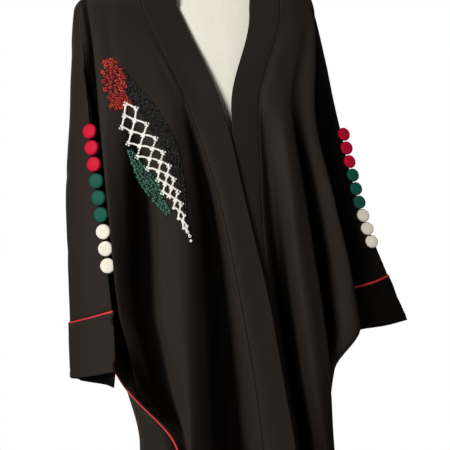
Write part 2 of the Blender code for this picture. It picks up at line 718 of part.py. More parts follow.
def front_place(ring, x, z):
    """The point and the outward direction of the right front's face, at a place across and a height."""
    first = ring.index[("right", "band_seam")][0]
    last = ring.index[("right", "outer_crest")][0]
    for j in range(1, ring.cuff_row):
        keys = [k for k in ring.rows[j] if (first, 0) <= k <= (last, 0)]
        above, below = ring.rows[j], ring.rows[j + 1]
        for a, b in zip(keys, keys[1:]):
            share = (above[a].z - z) / (above[a].z - below[a].z)
            if not -0.01 <= share <= 1.01:
                continue
            left, right = above[a].lerp(below[a], share), above[b].lerp(below[b], share)
            if min(left.x, right.x) <= x <= max(left.x, right.x):
                across = (x - left.x) / (right.x - left.x)
                n_left = ring.normals[j][a].lerp(ring.normals[j + 1][a], share)
                n_right = ring.normals[j][b].lerp(ring.normals[j + 1][b], share)
                return left.lerp(right, across), n_left.lerp(n_right, across).normalized()
    raise ValueError(f"no cloth at {x:.3f}, {z:.3f}")


def patch_half(s):
    """Half the patch's width at a share of its length."""
    return PATCH_HALF_WIDTH * math.sin(math.pi * s) ** (0.5 + 1.15 * s * s)


def patch_bow(s):
    """How far the patch's middle line lies to the wearer's left of the line from its top to its tip."""
    return PATCH_BOW * math.sin(7.5 * (s - 0.22)) + 0.010 * max(0, 1 - s / 0.12) ** 2


def patch_black_left(s):
    """Where the patch's black field starts, from -1 at its left edge to 1 at its right edge."""
    return min(0.84, max(1.75 - 8 * s, -0.1 + 0.8 * s))


def patch_net_left(s):
    """Where the patch's netted field starts."""
    if s < 0.66:
        return max(-0.88, -0.88 + 2.6 * (s - 0.42))
    return -0.256 - 1.4 * (s - 0.66)


# The patch's fields: name, start and end along it, and their left and right borders
PATCH_FIELDS = (
    ("patch_red", 0.02, 0.27, lambda s: -1, patch_black_left),
    ("patch_black", 0.06, 0.91, patch_black_left, lambda s: 1),
    ("patch_net", 0.285, 0.96, patch_net_left, patch_black_left),
    ("patch_green", 0.46, 0.82, lambda s: -1, patch_net_left),
)


def patch_field(collection, ring, field, finish):
    """One field of the patch, laid on the front's own face."""
    name, start, end, left, right = field
    top, tip = Vector((PATCH_TOP[0], 0, PATCH_TOP[1])), Vector((PATCH_TIP[0], 0, PATCH_TIP[1]))
    axis = tip - top
    side = Vector((-axis.z, 0, axis.x)).normalized()
    steps = round(axis.length / PATCH_STEP)
    inner = [n / steps for n in range(steps) if start + 0.3 / steps < n / steps < end - 0.3 / steps]
    shares = [start, *inner, end]
    points, normals = {}, {}
    columns = 5
    for r, s in enumerate(shares):
        half = patch_half(s)
        low, high = left(s) * half + patch_bow(s) + SEAM_GAP, right(s) * half + patch_bow(s) - SEAM_GAP
        if high - low < 0.0012:
            middle = (high + low) / 2
            low, high = middle - 0.0006, middle + 0.0006
        for c in range(columns + 1):
            flat = top + axis * s + side * (low + (high - low) * c / columns)
            point, outward = front_place(ring, flat.x, flat.z)
            points[(r, c)] = point + outward * (PATCH_LIFT + PATCH_WALL)
            normals[(r, c)] = outward
    quads = [((r, c + 1), (r, c), (r + 1, c), (r + 1, c + 1)) for r in range(len(inner) + 1) for c in range(columns)]
    return wall(collection, name, points, normals, quads, lambda a, b: 0, PATCH_WALL, finish)


def dress_form(collection, linen, wood, metal):
    shape = bmesh.new()
    rings = []
    for _, height, half, front, back in FORM_SECTIONS:
        ring = []
        for n in range(FORM_SEGMENTS):
            angle = 2 * math.pi * n / FORM_SEGMENTS
            c, s = math.cos(angle), math.sin(angle)
            power = 2 / FORM_SQUARENESS
            x = math.copysign(abs(c) ** power, c) * half / 1000
            depth = back if s > 0 else front
            y = math.copysign(abs(s) ** power, s) * depth / 1000
            ring.append(shape.verts.new((x, y, height / 1000)))
        rings.append(ring)
    for upper, lower in zip(rings, rings[1:]):
        for n in range(FORM_SEGMENTS):
            m = (n + 1) % FORM_SEGMENTS
            shape.faces.new((upper[m], upper[n], lower[n], lower[m]))
    shape.faces.new(rings[0])
    shape.faces.new(rings[-1][::-1])
    mesh = bpy.data.meshes.new("form_torso")
    shape.to_mesh(mesh)
    shape.free()
    mesh.shade_smooth()
    link(collection, bpy.data.objects.new("form_torso", mesh), linen)

    top = FORM_SECTIONS[0][1] / 1000
    foot = FORM_SECTIONS[-1][1] / 1000
    turned(collection, "neck_cap", top + SEAM_GAP, (
        (CAP_RADIUS, 0), (CAP_RADIUS + 0.003, CAP_HEIGHT / 2), (CAP_RADIUS - 0.004, CAP_HEIGHT),
        (KNOB_NECK_RADIUS, CAP_HEIGHT + 0.003), (KNOB_RADIUS, CAP_HEIGHT + KNOB_HEIGHT / 2),
        (KNOB_NECK_RADIUS, CAP_HEIGHT + KNOB_HEIGHT),
    ), wood)
    turned(collection, "pole", BASE_HEIGHT + HUB_HEIGHT + SEAM_GAP, (
        (POLE_RADIUS, 0), (POLE_RADIUS, foot - BASE_HEIGHT - HUB_HEIGHT - 2 * SEAM_GAP),
    ), metal)
    turned(collection, "base_disc", 0, (
        (BASE_RADIUS - 0.002, 0), (BASE_RADIUS, 0.003), (BASE_RADIUS, BASE_HEIGHT - 0.004),
        (BASE_RADIUS - 0.006, BASE_HEIGHT), (HUB_RADIUS + 0.004, BASE_HEIGHT + 0.002),
        (HUB_RADIUS - 0.006, BASE_HEIGHT + HUB_HEIGHT),
    ), metal)


def turned(collection, name, foot, profile, finish):
    """A turned solid: rings of the profile's radii at its heights above its foot, closed flat at both ends."""
    shape = bmesh.new()
    segments = TURNED_SEGMENTS if profile[0][0] > POLE_RADIUS else POLE_SEGMENTS
    rings = []
    for radius, height in profile:
        rings.append([
            shape.verts.new((
                radius * math.cos(2 * math.pi * n / segments),
                radius * math.sin(2 * math.pi * n / segments),
                foot + height,
            ))
            for n in range(segments)
        ])
    for lower, upper in zip(rings, rings[1:]):
        for n in range(segments):
            m = (n + 1) % segments
            shape.faces.new((lower[n], lower[m], upper[m], upper[n]))
    shape.faces.new(rings[0][::-1])
    shape.faces.new(rings[-1])
    mesh = bpy.data.meshes.new(name)
    shape.to_mesh(mesh)
    shape.free()
    mesh.shade_smooth()
    mesh.set_sharp_from_angle(angle=math.radians(40))
    return link(collection, bpy.data.objects.new(name, mesh), finish)


def main():
    for obj in list(bpy.data.objects):
        bpy.data.objects.remove(obj)
    collection = bpy.data.collections.new("abaya")
    bpy.context.scene.collection.children.link(collection)
    cloth = material("black_cloth", (0.022, 0.019, 0.015), 0.75)
    piping = material("red_piping", (0.45, 0.02, 0.03), 0.5)
    buttons_of = {
        "red": material("red_button", (0.45, 0.004, 0.02), 0.7),
        "green": material("green_button", (0.009, 0.078, 0.052), 0.7),
        "cream": material("cream_button", (0.84, 0.78, 0.65), 0.7),
    }
    beads = {
        "patch_red": material("red_beads", (0.40, 0.02, 0.02), 0.4),
        "patch_black": material("black_beads", (0.02, 0.02, 0.02), 0.35),
        "patch_net": material("net_beads", (0.75, 0.74, 0.70), 0.35),
        "patch_green": material("green_beads", (0.02, 0.12, 0.07), 0.4),
    }
    linen = material("linen", (0.81, 0.76, 0.63), 0.9)
    wood = material("wood", (0.32, 0.18, 0.09), 0.5)
    metal = material("dark_metal", (0.05, 0.05, 0.05), 0.4, 1.0)

    ring = Ring()
    right_arm = ring.index[("right", "over_arm")][0]
    left_arm = ring.index[("left", "over_arm")][0]
    last = len(ring.lines) - 1
    ring_piece(collection, ring, "front_band_right", 0, 1, BAND_WALL, cloth)
    ring_piece(collection, ring, "front_right", 1, right_arm, WALL, cloth)
    join, hem = ring.levels.index(HEIGHTS["low"]), len(ring.levels) - 1
    ring_piece(collection, ring, "back_upper", right_arm, left_arm, WALL, cloth, rows=(0, join))
    ring_piece(collection, ring, "back_lower", right_arm, left_arm, WALL, cloth, rows=(join, hem))
    ring_piece(collection, ring, "front_left", left_arm, last - 1, WALL, cloth)
    ring_piece(collection, ring, "front_band_left", last - 1, last, BAND_WALL, cloth)
    neck_band(collection, ring, cloth)
    meshes = {colour: button_mesh(finish) for colour, finish in buttons_of.items()}
    for side in ("right", "left"):
        sunk = cuff(collection, ring, side, cloth)
        tube(collection, f"cuff_piping_{side}", sunk, PIPING_RADIUS, piping, closed=True)
        side_piping(collection, ring, side, piping)
        buttons(collection, ring, side, meshes)
    for field in PATCH_FIELDS:
        patch_field(collection, ring, field, beads[field[0]])
    dress_form(collection, linen, wood, metal)


if __name__ == "__main__":
    main()
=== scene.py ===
"""Look of an abaya of butterfly cut on a limbless dress form.

Metres, +Z up. The garment's front faces -Y and the wearer's left is +X.
The tables are in millimetres, because a tailor's sizes are.
"""

import math

import bmesh
import bpy
import numpy as np
from mathutils import Matrix, Vector, noise
from mathutils.bvhtree import BVHTree


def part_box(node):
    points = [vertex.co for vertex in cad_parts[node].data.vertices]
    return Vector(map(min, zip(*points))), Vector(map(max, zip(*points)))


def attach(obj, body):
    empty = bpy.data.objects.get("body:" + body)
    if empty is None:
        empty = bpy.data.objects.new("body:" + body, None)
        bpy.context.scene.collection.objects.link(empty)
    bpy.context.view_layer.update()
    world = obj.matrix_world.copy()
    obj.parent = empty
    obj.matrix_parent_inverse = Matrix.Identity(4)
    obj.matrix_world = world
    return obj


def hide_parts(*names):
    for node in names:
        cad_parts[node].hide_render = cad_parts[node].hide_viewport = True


bl_info = {
    "name": "Butterfly abaya on a dress form",
    "version": (1, 0, 0),
    "blender": (4, 5, 0),
    "location": "3D View > Sidebar > Abaya",
    "description": "Dresses the packed abaya in cloth, trims, beads and linen",
    "category": "Object",
}

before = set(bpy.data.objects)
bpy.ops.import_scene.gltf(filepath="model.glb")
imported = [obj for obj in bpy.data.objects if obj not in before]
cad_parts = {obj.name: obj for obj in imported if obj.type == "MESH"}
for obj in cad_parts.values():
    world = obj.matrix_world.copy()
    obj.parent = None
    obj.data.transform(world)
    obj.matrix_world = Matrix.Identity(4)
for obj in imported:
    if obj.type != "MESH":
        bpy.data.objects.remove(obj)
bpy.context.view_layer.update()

# Driving sizes, in metres
WALL = 0.0013  # cloth
BAND_WALL = 0.0022  # doubled cloth of the front bands, the neck band and the cuffs
EDGE_BEVEL = 0.0008  # rounds the doubled cloth's edges
PIPING_RADIUS = 0.0023
PIPING_SINK = 0.0004
SEAM_GAP = 0.0003
FORM_CLEARANCE = 0.0006  # between the form and the inside of the cloth
BUTTON_DIAMETER = 0.024
BUTTON_HEIGHT = 0.0085
BUTTON_SEAT = 0.47  # how much of its height lies behind the middle of its node
BUTTONS_PER_SLEEVE = 9
BUTTON_TURN = {"right": 0, "left": 48}  # degrees by which they turn from the seam to the front

# Shoulder line and back neck
NECK_POINT_X = 0.072
NECK_POINT_Z = 1.462
SHOULDER_Y = 0.008
SHOULDER_SLOPE = 0.30
BAND_SEAM_X = 0.128
SHOULDER_TIP_X = 0.185
SHOULDER_ROUND = 0.019
BULGE_OUT = 0.75
BULGE_UP = 0.65
SHOULDER_TIP_LEAN = 0.8
BACK_NECK_SEAM_Y = 0.090
BACK_NECK_SEAM_DROP = 0.012
BACK_NECK_EDGE_Y = 0.060
BACK_NECK_RISE = 0.008
BACK_NECK_SLOPE = 0.55

# Heights of the sections: the names are the tables' columns
HEIGHTS = {
    "neck": 1.385, "chest": 1.20, "waist": 1.05, "cuff": 0.89,
    "fall": 0.83, "wing": 0.76, "low": 0.65, "hem": 0.05,
}
SHOULDER = 1.445  # of the first row, which follows the upper seams instead

# One row for each line that runs down the cloth: crests, troughs, folds and seams.
# Its first numbers are places across (+ is the wearer's left), the second ones depths (- is forwards),
# at the heights neck, chest, waist, cuff, fall, wing, low and hem. Lines of a sleeve end at the cuff.
RIGHT_FRONT = (
    ("edge", (-60, -9, 16, 46, 54, 63, 76, 104), (-52, -128, -148, -155, -157, -159, -162, -190)),
    ("band_seam", (-120, -63, -26, 0, 8, 17, 26, 52), (-54, -124, -145, -151, -152, -153, -155, -184)),
    ("trough", (-130, -69, -40, -27, -24, -21, -17, 12), (-54, -123, -120, -112, -109, -106, -102, -150)),
    ("crest", (-140, -84, -79, -86, -89, -92, -94, -62), (-54, -129, -146, -152, -155, -158, -160, -186)),
    ("panel", (-163, -135, -122, -124, -117, -108, -95, -102), (-54, -124, -138, -138, -139, -140, -149, -174)),
    ("side_trough", (-184, -160, -146, -142, -130, -117, -92, -134), (-52, -117, -100, -77, -69, -67, -136, -158)),
    ("outer_crest", (-206, -204, -198, -186, -172, -152, -89, -158), (-46, -110, -120, -94, -80, -74, -124, -148)),
    ("under_arm", (-206, -182, -168, -164, -164, -160, -90, -176), (-34, -62, -58, -44, -52, -60, -110, -130)),
    ("side_seam", (-206, -192, -198, -240, -213, -176, -100, -190), (-24, -46, -34, 1, -20, -46, -92, -112)),
    ("sleeve_inner", (-213, -203, -194, -204), (-12, -54, -70, -46)),
    ("over_arm", (-218, -216, -206, -194), (-2, -62, -82, -90)),
)
RIGHT_BACK = (
    ("sleeve_face", (-224, -232, -238, -232), (14, -38, -54, -60)),
    ("sleeve_edge", (-222, -241, -253, -255), (28, 0, -8, -12)),
    ("side_seam", (-213, -230, -238, -240, -213, -176, -100, -190), (42, 36, 28, 1, -20, -46, -92, -112)),
    ("flank", (-200, -216, -222, -214, -197, -170, -144, -236), (58, 66, 58, 28, 12, -4, -36, -40)),
    ("rear", (-172, -172, -178, -170, -165, -156, -132, -210), (76, 98, 96, 82, 72, 60, 46, 100)),
    ("back_fold", (-96, -92, -92, -90, -88, -86, -80, -108), (96, 117, 104, 88, 81, 74, 64, 96)),
)
CENTRE_BACK = ("centre", (0, 0, 0, 0, 0, 0, 0, 0), (102, 116, 114, 112, 110, 108, 104, 162))
LEFT_BACK = (
    ("back_fold", (96, 92, 94, 92, 88, 84, 76, 92), (96, 117, 106, 92, 86, 80, 72, 112)),
    ("rear", (172, 172, 178, 172, 168, 164, 152, 206), (76, 98, 96, 80, 73, 66, 56, 110)),
    ("flank", (196, 210, 222, 216, 212, 178, 166, 246), (58, 66, 60, 6, -8, -18, -22, 10)),
    ("side_seam", (208, 224, 238, 230, 225, 184, 164, 238), (42, 46, 34, -52, -60, -68, -60, -40)),
    ("sleeve_edge", (212, 238, 264, 278), (28, 24, 22, -12)),
    ("sleeve_face", (212, 242, 274, 313), (14, 4, 4, -2)),
)
LEFT_FRONT = (
    ("over_arm", (206, 237, 268, 321), (-2, -16, -22, -22)),
    ("sleeve_inner", (202, 216, 236, 276), (-14, -44, -54, -50)),
    ("side_seam", (196, 190, 206, 230, 225, 184, 164, 238), (-24, -58, -58, -54, -60, -68, -60, -40)),
    ("under_arm", (191, 168, 190, 227, 231, 181, 166, 242), (-33, -66, -60, -74, -84, -83, -78, -64)),
    ("outer_crest", (184, 154, 182, 212, 214, 171, 165, 242), (-43, -111, -112, -106, -106, -94, -94, -86)),
    ("side_trough", (172, 120, 142, 162, 166, 158, 160, 238), (-48, -112, -95, -81, -92, -100, -110, -108)),
    ("ridge_wall", (160, 107, 121, 140, 147, 153, 155, 222), (-52, -122, -132, -134, -133, -132, -130, -134)),
    ("ridge", (148, 90, 95, 105, 112, 119, 133, 188), (-54, -126, -142, -146, -147, -148, -148, -168)),
    ("trough", (132, 62, 68, 84, 91, 99, 114, 146), (-54, -121, -117, -107, -104, -102, -98, -142)),
    ("band_seam", (121, 53, 48, 52, 56, 62, 75, 103), (-54, -119, -132, -138, -140, -142, -144, -172)),
    ("edge", (66, 6, 2, 7, 12, 20, 32, 60), (-52, -122, -141, -145, -146, -147, -150, -180)),
)

# The dress form from its neck's top to its underside: heights, half widths, and depths to the front and to
# the back, in millimetres
FORM_SECTIONS = (
    (1505, 56, 44, 52),  # neck top
    (1475, 56, 36, 48),  # neck
    (1454.5, 60, 30, 44),  # neck base
    (1440.7, 104, 24, 40),  # shoulder
    (1426, 154, 30, 44),  # shoulder end
    (1405, 177, 36, 60),  # arm top
    (1380, 184, 46, 76),  # arm
    (1300, 172, 80, 94),  # arm low
    (1200, 148, 105, 104),  # bust
    (1130, 136, 103, 100),  # under bust
    (1050, 122, 90, 90),  # waist
    (960, 138, 94, 96),  # high hip
    (880, 142, 94, 96),  # hip
    (790, 124, 82, 84),  # foot
    (780, 112, 74, 76),  # underside
)
FORM_SQUARENESS = 2.25
FORM_SEGMENTS = 128
FORM_ROW_STEP = 0.009
FORM_GIRTH_RADIUS = 0.115  # of a circle as long as its girth, for the linen's weave
FORM_SEAMS = (-90, -52, -128, 90, 52, 128, 0, 180)  # degrees round it, from the wearer's left
FORM_SEAM_WIDTH = 0.018  # radians
FORM_SEAM_DEPTH = 0.0006
FORM_SEAM_TOP = 1.44
POLE_RADIUS = 0.016
BASE_RADIUS = 0.165
BASE_HEIGHT = 0.018
HUB_RADIUS = 0.030
HUB_HEIGHT = 0.030
CAP_RADIUS = 0.050
CAP_HEIGHT = 0.014
KNOB_RADIUS = 0.014
KNOB_HEIGHT = 0.030

# The photograph's camera: turned from the garment's front towards its right side and rolled, both in degrees
CAMERA_TURN = 15.5
CAMERA_DISTANCE = 1.400
CAMERA_SHIFT = 0.020
CAMERA_HEIGHT = 1.016
CAMERA_ROLL = -2.5
CAMERA_LENS = 64  # millimetres, as is the sensor's width
CAMERA_SENSOR = 36

# Cuffs, in millimetres: where each end's lower edge lies from its upper edge
CUFF_DROP = {
    "right": {"over_arm": (0, 0, -94), "side_seam": (-2, 0, -88)},
    "left": {"over_arm": (32, -2, -83), "side_seam": (12, 2, -74)},
}
# The right cuff's layer towards the body hangs lower by so many metres beside the over-arm seam and at the side
# seam
RIGHT_CUFF_LONGER = (0.028, 0.015)
RIGHT_CUFF_EASE = 0.12  # over this share of the cuff's width from the over-arm seam
# How far the cuff seam rises at each line, in millimetres
CUFF_TILT = {
    "right": {"sleeve_inner": -11, "over_arm": -3, "sleeve_face": -15, "sleeve_edge": -24, "side_seam": -19},
    "left": {"sleeve_inner": 12, "over_arm": 20, "sleeve_face": 24, "sleeve_edge": 14, "side_seam": 4},
}
CUFF_ROWS = 16
CUFF_RIPPLE = 0.0012  # its cloth's unevenness
CUFF_HEM = 0.88  # where its hem's stitching presses it in, as a share of its depth
CUFF_HEM_DIP = 0.0007
CUFF_TOP_RISE = 0.0004  # the seam allowance under its upper edge

# The neck band's grid, its crown between its two edges, and its size for the weave
NECK_BAND_COLUMNS = 72
NECK_BAND_ROWS = 7
NECK_BAND_CROWN = 0.0012
NECK_BAND_SIZE = (0.3, 0.05)

# Stitching: lengths and gaps, the distance from the bands' seams and from the hem, and the thread
BAND_STITCH = (0.0028, 0.0010)
HEM_STITCH = (0.0030, 0.0012)
BAND_STITCH_AWAY = 0.004
HEM_DEPTH = 0.025
STITCH_LIFT = 0.0003
THREAD_WIDTH = 0.00045

# The beaded patch: a spindle between two points of the front
PATCH_LINES = (1, 7)  # between these of the cloth's lines
PATCH_TOP = (-0.188, 1.290)
PATCH_TIP = (-0.071, 0.986)
PATCH_HALF_WIDTH = 0.036
PATCH_BOW = 0.004  # how far its middle line sways to each side
# Its fields' ends, as shares of its length
RED_FIELD = (0.02, 0.27)
GREEN_FIELD = (0.46, 0.82)
BLACK_FIELD = (0.05, 0.985)
# Its net: the first row's place along the patch, the rows' distance, by how much that shrinks from row to row,
# and how much further along each knot lies than its left neighbour
NET_START = 0.305
NET_PITCH = 0.084
NET_EASE = 0.94
NET_STEP = 0.040
NET_CELLS = 3
NET_ROWS = 10
NET_TAIL = 7  # from this row on the net is one cell narrower
NET_TIP = 0.972  # a single bead ends it
NET_SAG = -0.008  # the strings along a row bow up the patch
NET_BEAD = (0.78, 0.85)  # the strings' beads: width and length, as shares of the net bead's size
NET_OVERLAP = 0.75  # from bead to bead, as a share of their length
NET_LIFT = 0.0014

# Creases: start (line, height), end (line, height), bow across in lines, half width and depth in millimetres.
# Lines count from 0 at the right front's edge round the back to 34 at the left front's edge.
CREASES = (
    # Right arm and front
    ((9.3, 1.44), (8.6, 1.16), 0.0, 9, -9.0),
    ((8.8, 1.20), (8.4, 0.93), 0.0, 9, -4.0),
    ((4.2, 1.40), (5.2, 1.22), 0.3, 12, -1.8),
    ((2.6, 1.32), (3.0, 1.06), 0.1, 10, -1.6),
    ((3.4, 1.26), (3.2, 0.80), -0.1, 12, 1.4),
    ((4.5, 1.08), (4.2, 0.60), 0.2, 16, -3.0),
    ((3.7, 0.98), (3.6, 0.30), 0.1, 13, -2.2),
    ((4.6, 0.60), (4.8, 0.08), 0.1, 16, -3.2),
    ((5.5, 1.02), (4.9, 0.70), 0.2, 12, -2.6),
    ((1.5, 1.10), (1.5, 0.40), 0.1, 10, -1.4),
    # Right sleeve
    ((10.6, 1.14), (12.2, 1.10), 0.2, 12, -1.6),
    ((10.4, 1.04), (12.4, 0.98), -0.2, 11, -1.5),
    ((11.0, 1.36), (12.4, 1.26), 0.2, 14, -1.6),
    ((11.4, 0.97), (11.2, 0.90), 0.0, 8, -1.0),
    # Left arm and front
    ((26.4, 1.42), (26.7, 1.10), 0.0, 10, -4.0),
    ((30.4, 1.40), (29.0, 1.22), -0.3, 12, -1.8),
    ((32.5, 1.36), (31.9, 1.04), 0.1, 9, -1.6),
    ((30.8, 1.24), (30.8, 0.72), 0.1, 12, 1.2),
    ((30.2, 1.10), (30.3, 0.45), 0.1, 13, -2.4),
    ((28.6, 1.06), (29.6, 0.72), -0.2, 12, -2.6),
    ((27.4, 1.02), (28.2, 0.84), -0.2, 9, -2.0),
    ((29.6, 0.60), (29.2, 0.08), 0.1, 16, -3.2),
    ((33.5, 0.96), (33.4, 0.30), 0.1, 10, -1.4),
    # Left sleeve
    ((24.4, 1.14), (22.4, 1.10), 0.2, 12, -1.8),
    ((25.4, 1.06), (24.0, 0.99), 0.1, 10, -1.6),
    ((24.2, 1.36), (22.4, 1.27), 0.2, 13, -1.6),
    ((24.7, 1.00), (25.0, 0.93), 0.0, 8, -1.2),
    # Back
    ((13.2, 1.34), (14.8, 1.12), 0.3, 14, -2.4),
    ((21.2, 1.34), (19.6, 1.12), -0.3, 14, -2.4),
    ((15.0, 1.38), (15.6, 1.05), 0.2, 16, -2.6),
    ((19.4, 1.38), (18.6, 1.05), -0.2, 16, -2.6),
    ((17.0, 1.30), (17.1, 0.70), 0.1, 20, -2.4),
    ((15.7, 1.02), (15.6, 0.10), 0.2, 18, -5.0),
    ((18.4, 1.02), (18.6, 0.10), -0.2, 18, -5.0),
    ((14.9, 0.86), (14.9, 0.08), 0.1, 16, -4.2),
    ((19.2, 0.86), (19.2, 0.08), 0.1, 16, -4.2),
    ((16.4, 0.90), (16.4, 0.08), 0.1, 18, 3.6),
    ((17.7, 0.90), (17.6, 0.08), 0.1, 18, 3.6),
    ((13.6, 1.08), (14.2, 0.86), 0.2, 12, -2.4),
    ((20.8, 1.08), (20.2, 0.86), -0.2, 12, -2.4),
)

# Where the sleeves keep the light off: line, height, half widths in lines and in metres, and how dark
SHADES = (
    (6.4, 0.74, 1.7, 0.16, 0.93),  # under right cuff
    (8.6, 1.02, 1.2, 0.30, 0.60),  # inside right arm
    (25.2, 1.10, 1.7, 0.26, 0.75),  # left sleeve front
    (25.2, 0.93, 1.6, 0.10, 0.50),  # left sleeve low
    (27.0, 0.90, 1.0, 0.16, 0.50),  # under left arm
    (29.5, 0.50, 4.5, 0.36, 0.45),  # low left front
)
CUFF_SHADE = 0.72  # the left cuff hangs on the side away from the light
# Where the fronts' folds run out upwards, and their painted shade fades with them: from line, to line, the height
# below which the shade is whole, and the height above which it is gone
CHEST_FOLD_SHADE = ((0, 7, 1.10, 1.28), (27, 31, 1.10, 1.28), (31, 34, 0.86, 1.12))
HOLLOW_SPANS = (0.024, 0.046)  # how far to each side a fold's walls are looked for
HOLLOW_RISE = 0.34  # the walls' rise for their distance in the deepest valley
CHEST_CALM = 0.8  # how much of a valley's shade is gone where the folds have run out

# The cloth's grid: columns between two neighbouring lines, how much closer they lie near the lines, and the
# rows' distances at the shoulders, down to the thighs and below
STEPS = 8
COLUMN_EASE = 0.55
TOP_ROW_STEP = 0.005
ROW_STEP = 0.008
LOW_ROW_STEP = 0.014

# What is pressed into it: creases, ripples, and a dip at the seams with puckers beside it, whose widths are
# shares of the distance between two lines
CREASE_STEP = 0.03  # from point to point of a crease's path
CREASE_FADE = 0.6  # the lower, the more sudden are its ends
CREASE_RIM = 0.45  # how much the cloth rises again beside it
SOFT_RIPPLE = 0.0016
FINE_RIPPLE = 0.00055
CALM_TOP = 0.05  # nothing is pressed in at the shoulder seams, and all of it this far below them
SEAM_DIP = 0.0009
SEAM_DIP_WIDTH = 0.06
PUCKER_WIDTH = 0.3


def metres(values):
    """Millimetres as metres."""
    return [v / 1000 for v in values]


def smooth(share):
    """Eases in and out from 0 to 1."""
    share = min(1, max(0, share))
    return share * share * (3 - 2 * share)


def bell(away):
    """1 where nothing is away, and next to nothing from 2 on."""
    return math.exp(-(away**2))


def between(a, b, t):
    """From a to b as t goes from 0 to 1."""
    return a + (b - a) * t


def monotone(xs, ys, x):
    """A smooth curve through (xs, ys) that never swings past its points; xs falls."""
    if x >= xs[0]:
        return ys[0]
    if x <= xs[-1]:
        return ys[-1]
    n = len(xs)
    slopes = [(ys[i + 1] - ys[i]) / (xs[i + 1] - xs[i]) for i in range(n - 1)]
    tangents = [slopes[0]]
    for i in range(1, n - 1):
        a, b = slopes[i - 1], slopes[i]
        tangents.append(0 if a * b <= 0 else 2 * a * b / (a + b))
    tangents.append(slopes[-1])
    k = next(i for i in range(n - 1) if x >= xs[i + 1])
    h = xs[k + 1] - xs[k]
    s = (x - xs[k]) / h
    return (
        (2 * s**3 - 3 * s**2 + 1) * ys[k]
        + (s**3 - 2 * s**2 + s) * h * tangents[k]
        + (3 * s**2 - 2 * s**3) * ys[k + 1]
        + (s**3 - s**2) * h * tangents[k + 1]
    )


def shoulder_point(x):
    """A point of the shoulder seam."""
    return Vector((x, SHOULDER_Y, NECK_POINT_Z - (abs(x) - NECK_POINT_X) * SHOULDER_SLOPE))


def top_normal(point):
    """Where the cloth lies on the shoulders and round the back neck, it slopes outwards."""
    rise = (point.y - SHOULDER_Y) / (BACK_NECK_SEAM_Y - SHOULDER_Y)
    side = math.sqrt(max(0, 1 - rise * rise))
    return Vector((math.copysign(SHOULDER_SLOPE * side, point.x), BACK_NECK_SLOPE * rise, 1)).normalized()


def neck_seam_point(angle):
    """A point of the seam between the back and the neck band; angle 0 is the wearer's left."""
    return Vector((
        BAND_SEAM_X * math.cos(angle),
        SHOULDER_Y + (BACK_NECK_SEAM_Y - SHOULDER_Y) * math.sin(angle),
        shoulder_point(BAND_SEAM_X).z - BACK_NECK_SEAM_DROP * math.sin(angle),
    ))


def top_point(top):
    """A point of the upper seam: on a shoulder, as its place across, or on the back neck, as its angle."""
    kind, value = top
    return shoulder_point(value) if kind == "shoulder" else neck_seam_point(value)


class Line:
    """One line down the cloth, as a point for each height."""

    def __init__(self, side, row, top):
        self.side = side
        self.name, xs, ys = row
        names = list(HEIGHTS)[: len(xs)]
        tilt = CUFF_TILT.get(side, {}).get(self.name, 0) / 1000
        self.levels = [SHOULDER] + [HEIGHTS[n] for n in names]
        self.top = top
        start = top_point(top)
        self.xs = [start.x] + metres(xs)
        self.ys = [start.y] + metres(ys)
        self.zs = [start.z] + [HEIGHTS[n] + (tilt if n == "cuff" else 0) for n in names]

    def at(self, level):
        """Its point in the row of a level."""
        return Vector([monotone(self.levels, v, level) for v in (self.xs, self.ys, self.zs)])


def make_lines():
    """All lines of the cloth in order, from the right front's edge round the back to the left front's edge."""

    def front_tops(rows, sign):
        """Where a front's lines start: its edge at the neck, the others spread over the shoulder."""
        seams = [row[0] for row in rows if row[0] != "edge"]
        if seams[0] != "band_seam":
            seams.reverse()
        tops = {"edge": ("shoulder", sign * NECK_POINT_X)}
        for i, name in enumerate(seams):
            x = BAND_SEAM_X + (SHOULDER_TIP_X - BAND_SEAM_X) * i / (len(seams) - 1)
            tops[name] = ("shoulder", sign * x)
        return tops

    def back_tops(sign):
        """Where one half of the back's lines start: on the shoulder, then round the back neck."""
        tops = {}
        for i, name in enumerate(("over_arm", "sleeve_face", "sleeve_edge", "side_seam")):
            tops[name] = ("shoulder", sign * (SHOULDER_TIP_X + (BAND_SEAM_X - SHOULDER_TIP_X) * i / 3))
        for i, name in enumerate(("flank", "rear", "back_fold")):
            angle = math.pi / 2 * (i + 1) / 4
            tops[name] = ("neck", angle if sign > 0 else math.pi - angle)
        return tops

    lines = []
    for side, rows, tops in (
        ("right", RIGHT_FRONT, front_tops(RIGHT_FRONT, -1)),
        ("right", RIGHT_BACK, back_tops(-1)),
        ("centre", (CENTRE_BACK,), {"centre": ("neck", math.pi / 2)}),
        ("left", LEFT_BACK, back_tops(1)),
        ("left", LEFT_FRONT, front_tops(LEFT_FRONT, 1)),
    ):
        lines += [Line(side, row, tops[row[0]]) for row in rows]
    return lines


def section_point(points, k, s):
    """A point between points k and k + 1 on a smooth section through all of them."""
    p1, p2 = points[k], points[k + 1]
    p0 = points[k - 1] if k > 0 else p1 * 2 - p2
    p3 = points[k + 2] if k + 2 < len(points) else p2 * 2 - p1
    d1 = max((p1 - p0).length, 1e-6) ** 0.5
    d2 = max((p2 - p1).length, 1e-6) ** 0.5
    d3 = max((p3 - p2).length, 1e-6) ** 0.5
    m1 = ((p1 - p0) / d1 - (p2 - p0) / (d1 + d2) + (p2 - p1) / d2) * d2
    m2 = ((p2 - p1) / d2 - (p3 - p1) / (d2 + d3) + (p3 - p2) / d3) * d2
    return (
        p1 * (2 * s**3 - 3 * s**2 + 1)
        + m1 * (s**3 - 2 * s**2 + s)
        + p2 * (3 * s**2 - 2 * s**3)
        + m2 * (s**3 - s**2)
    )


def column_share(s):
    """Columns lie closer together near the lines, where the seams need them."""
    t = s / STEPS
    return t - COLUMN_EASE * math.sin(2 * math.pi * t) / (2 * math.pi)


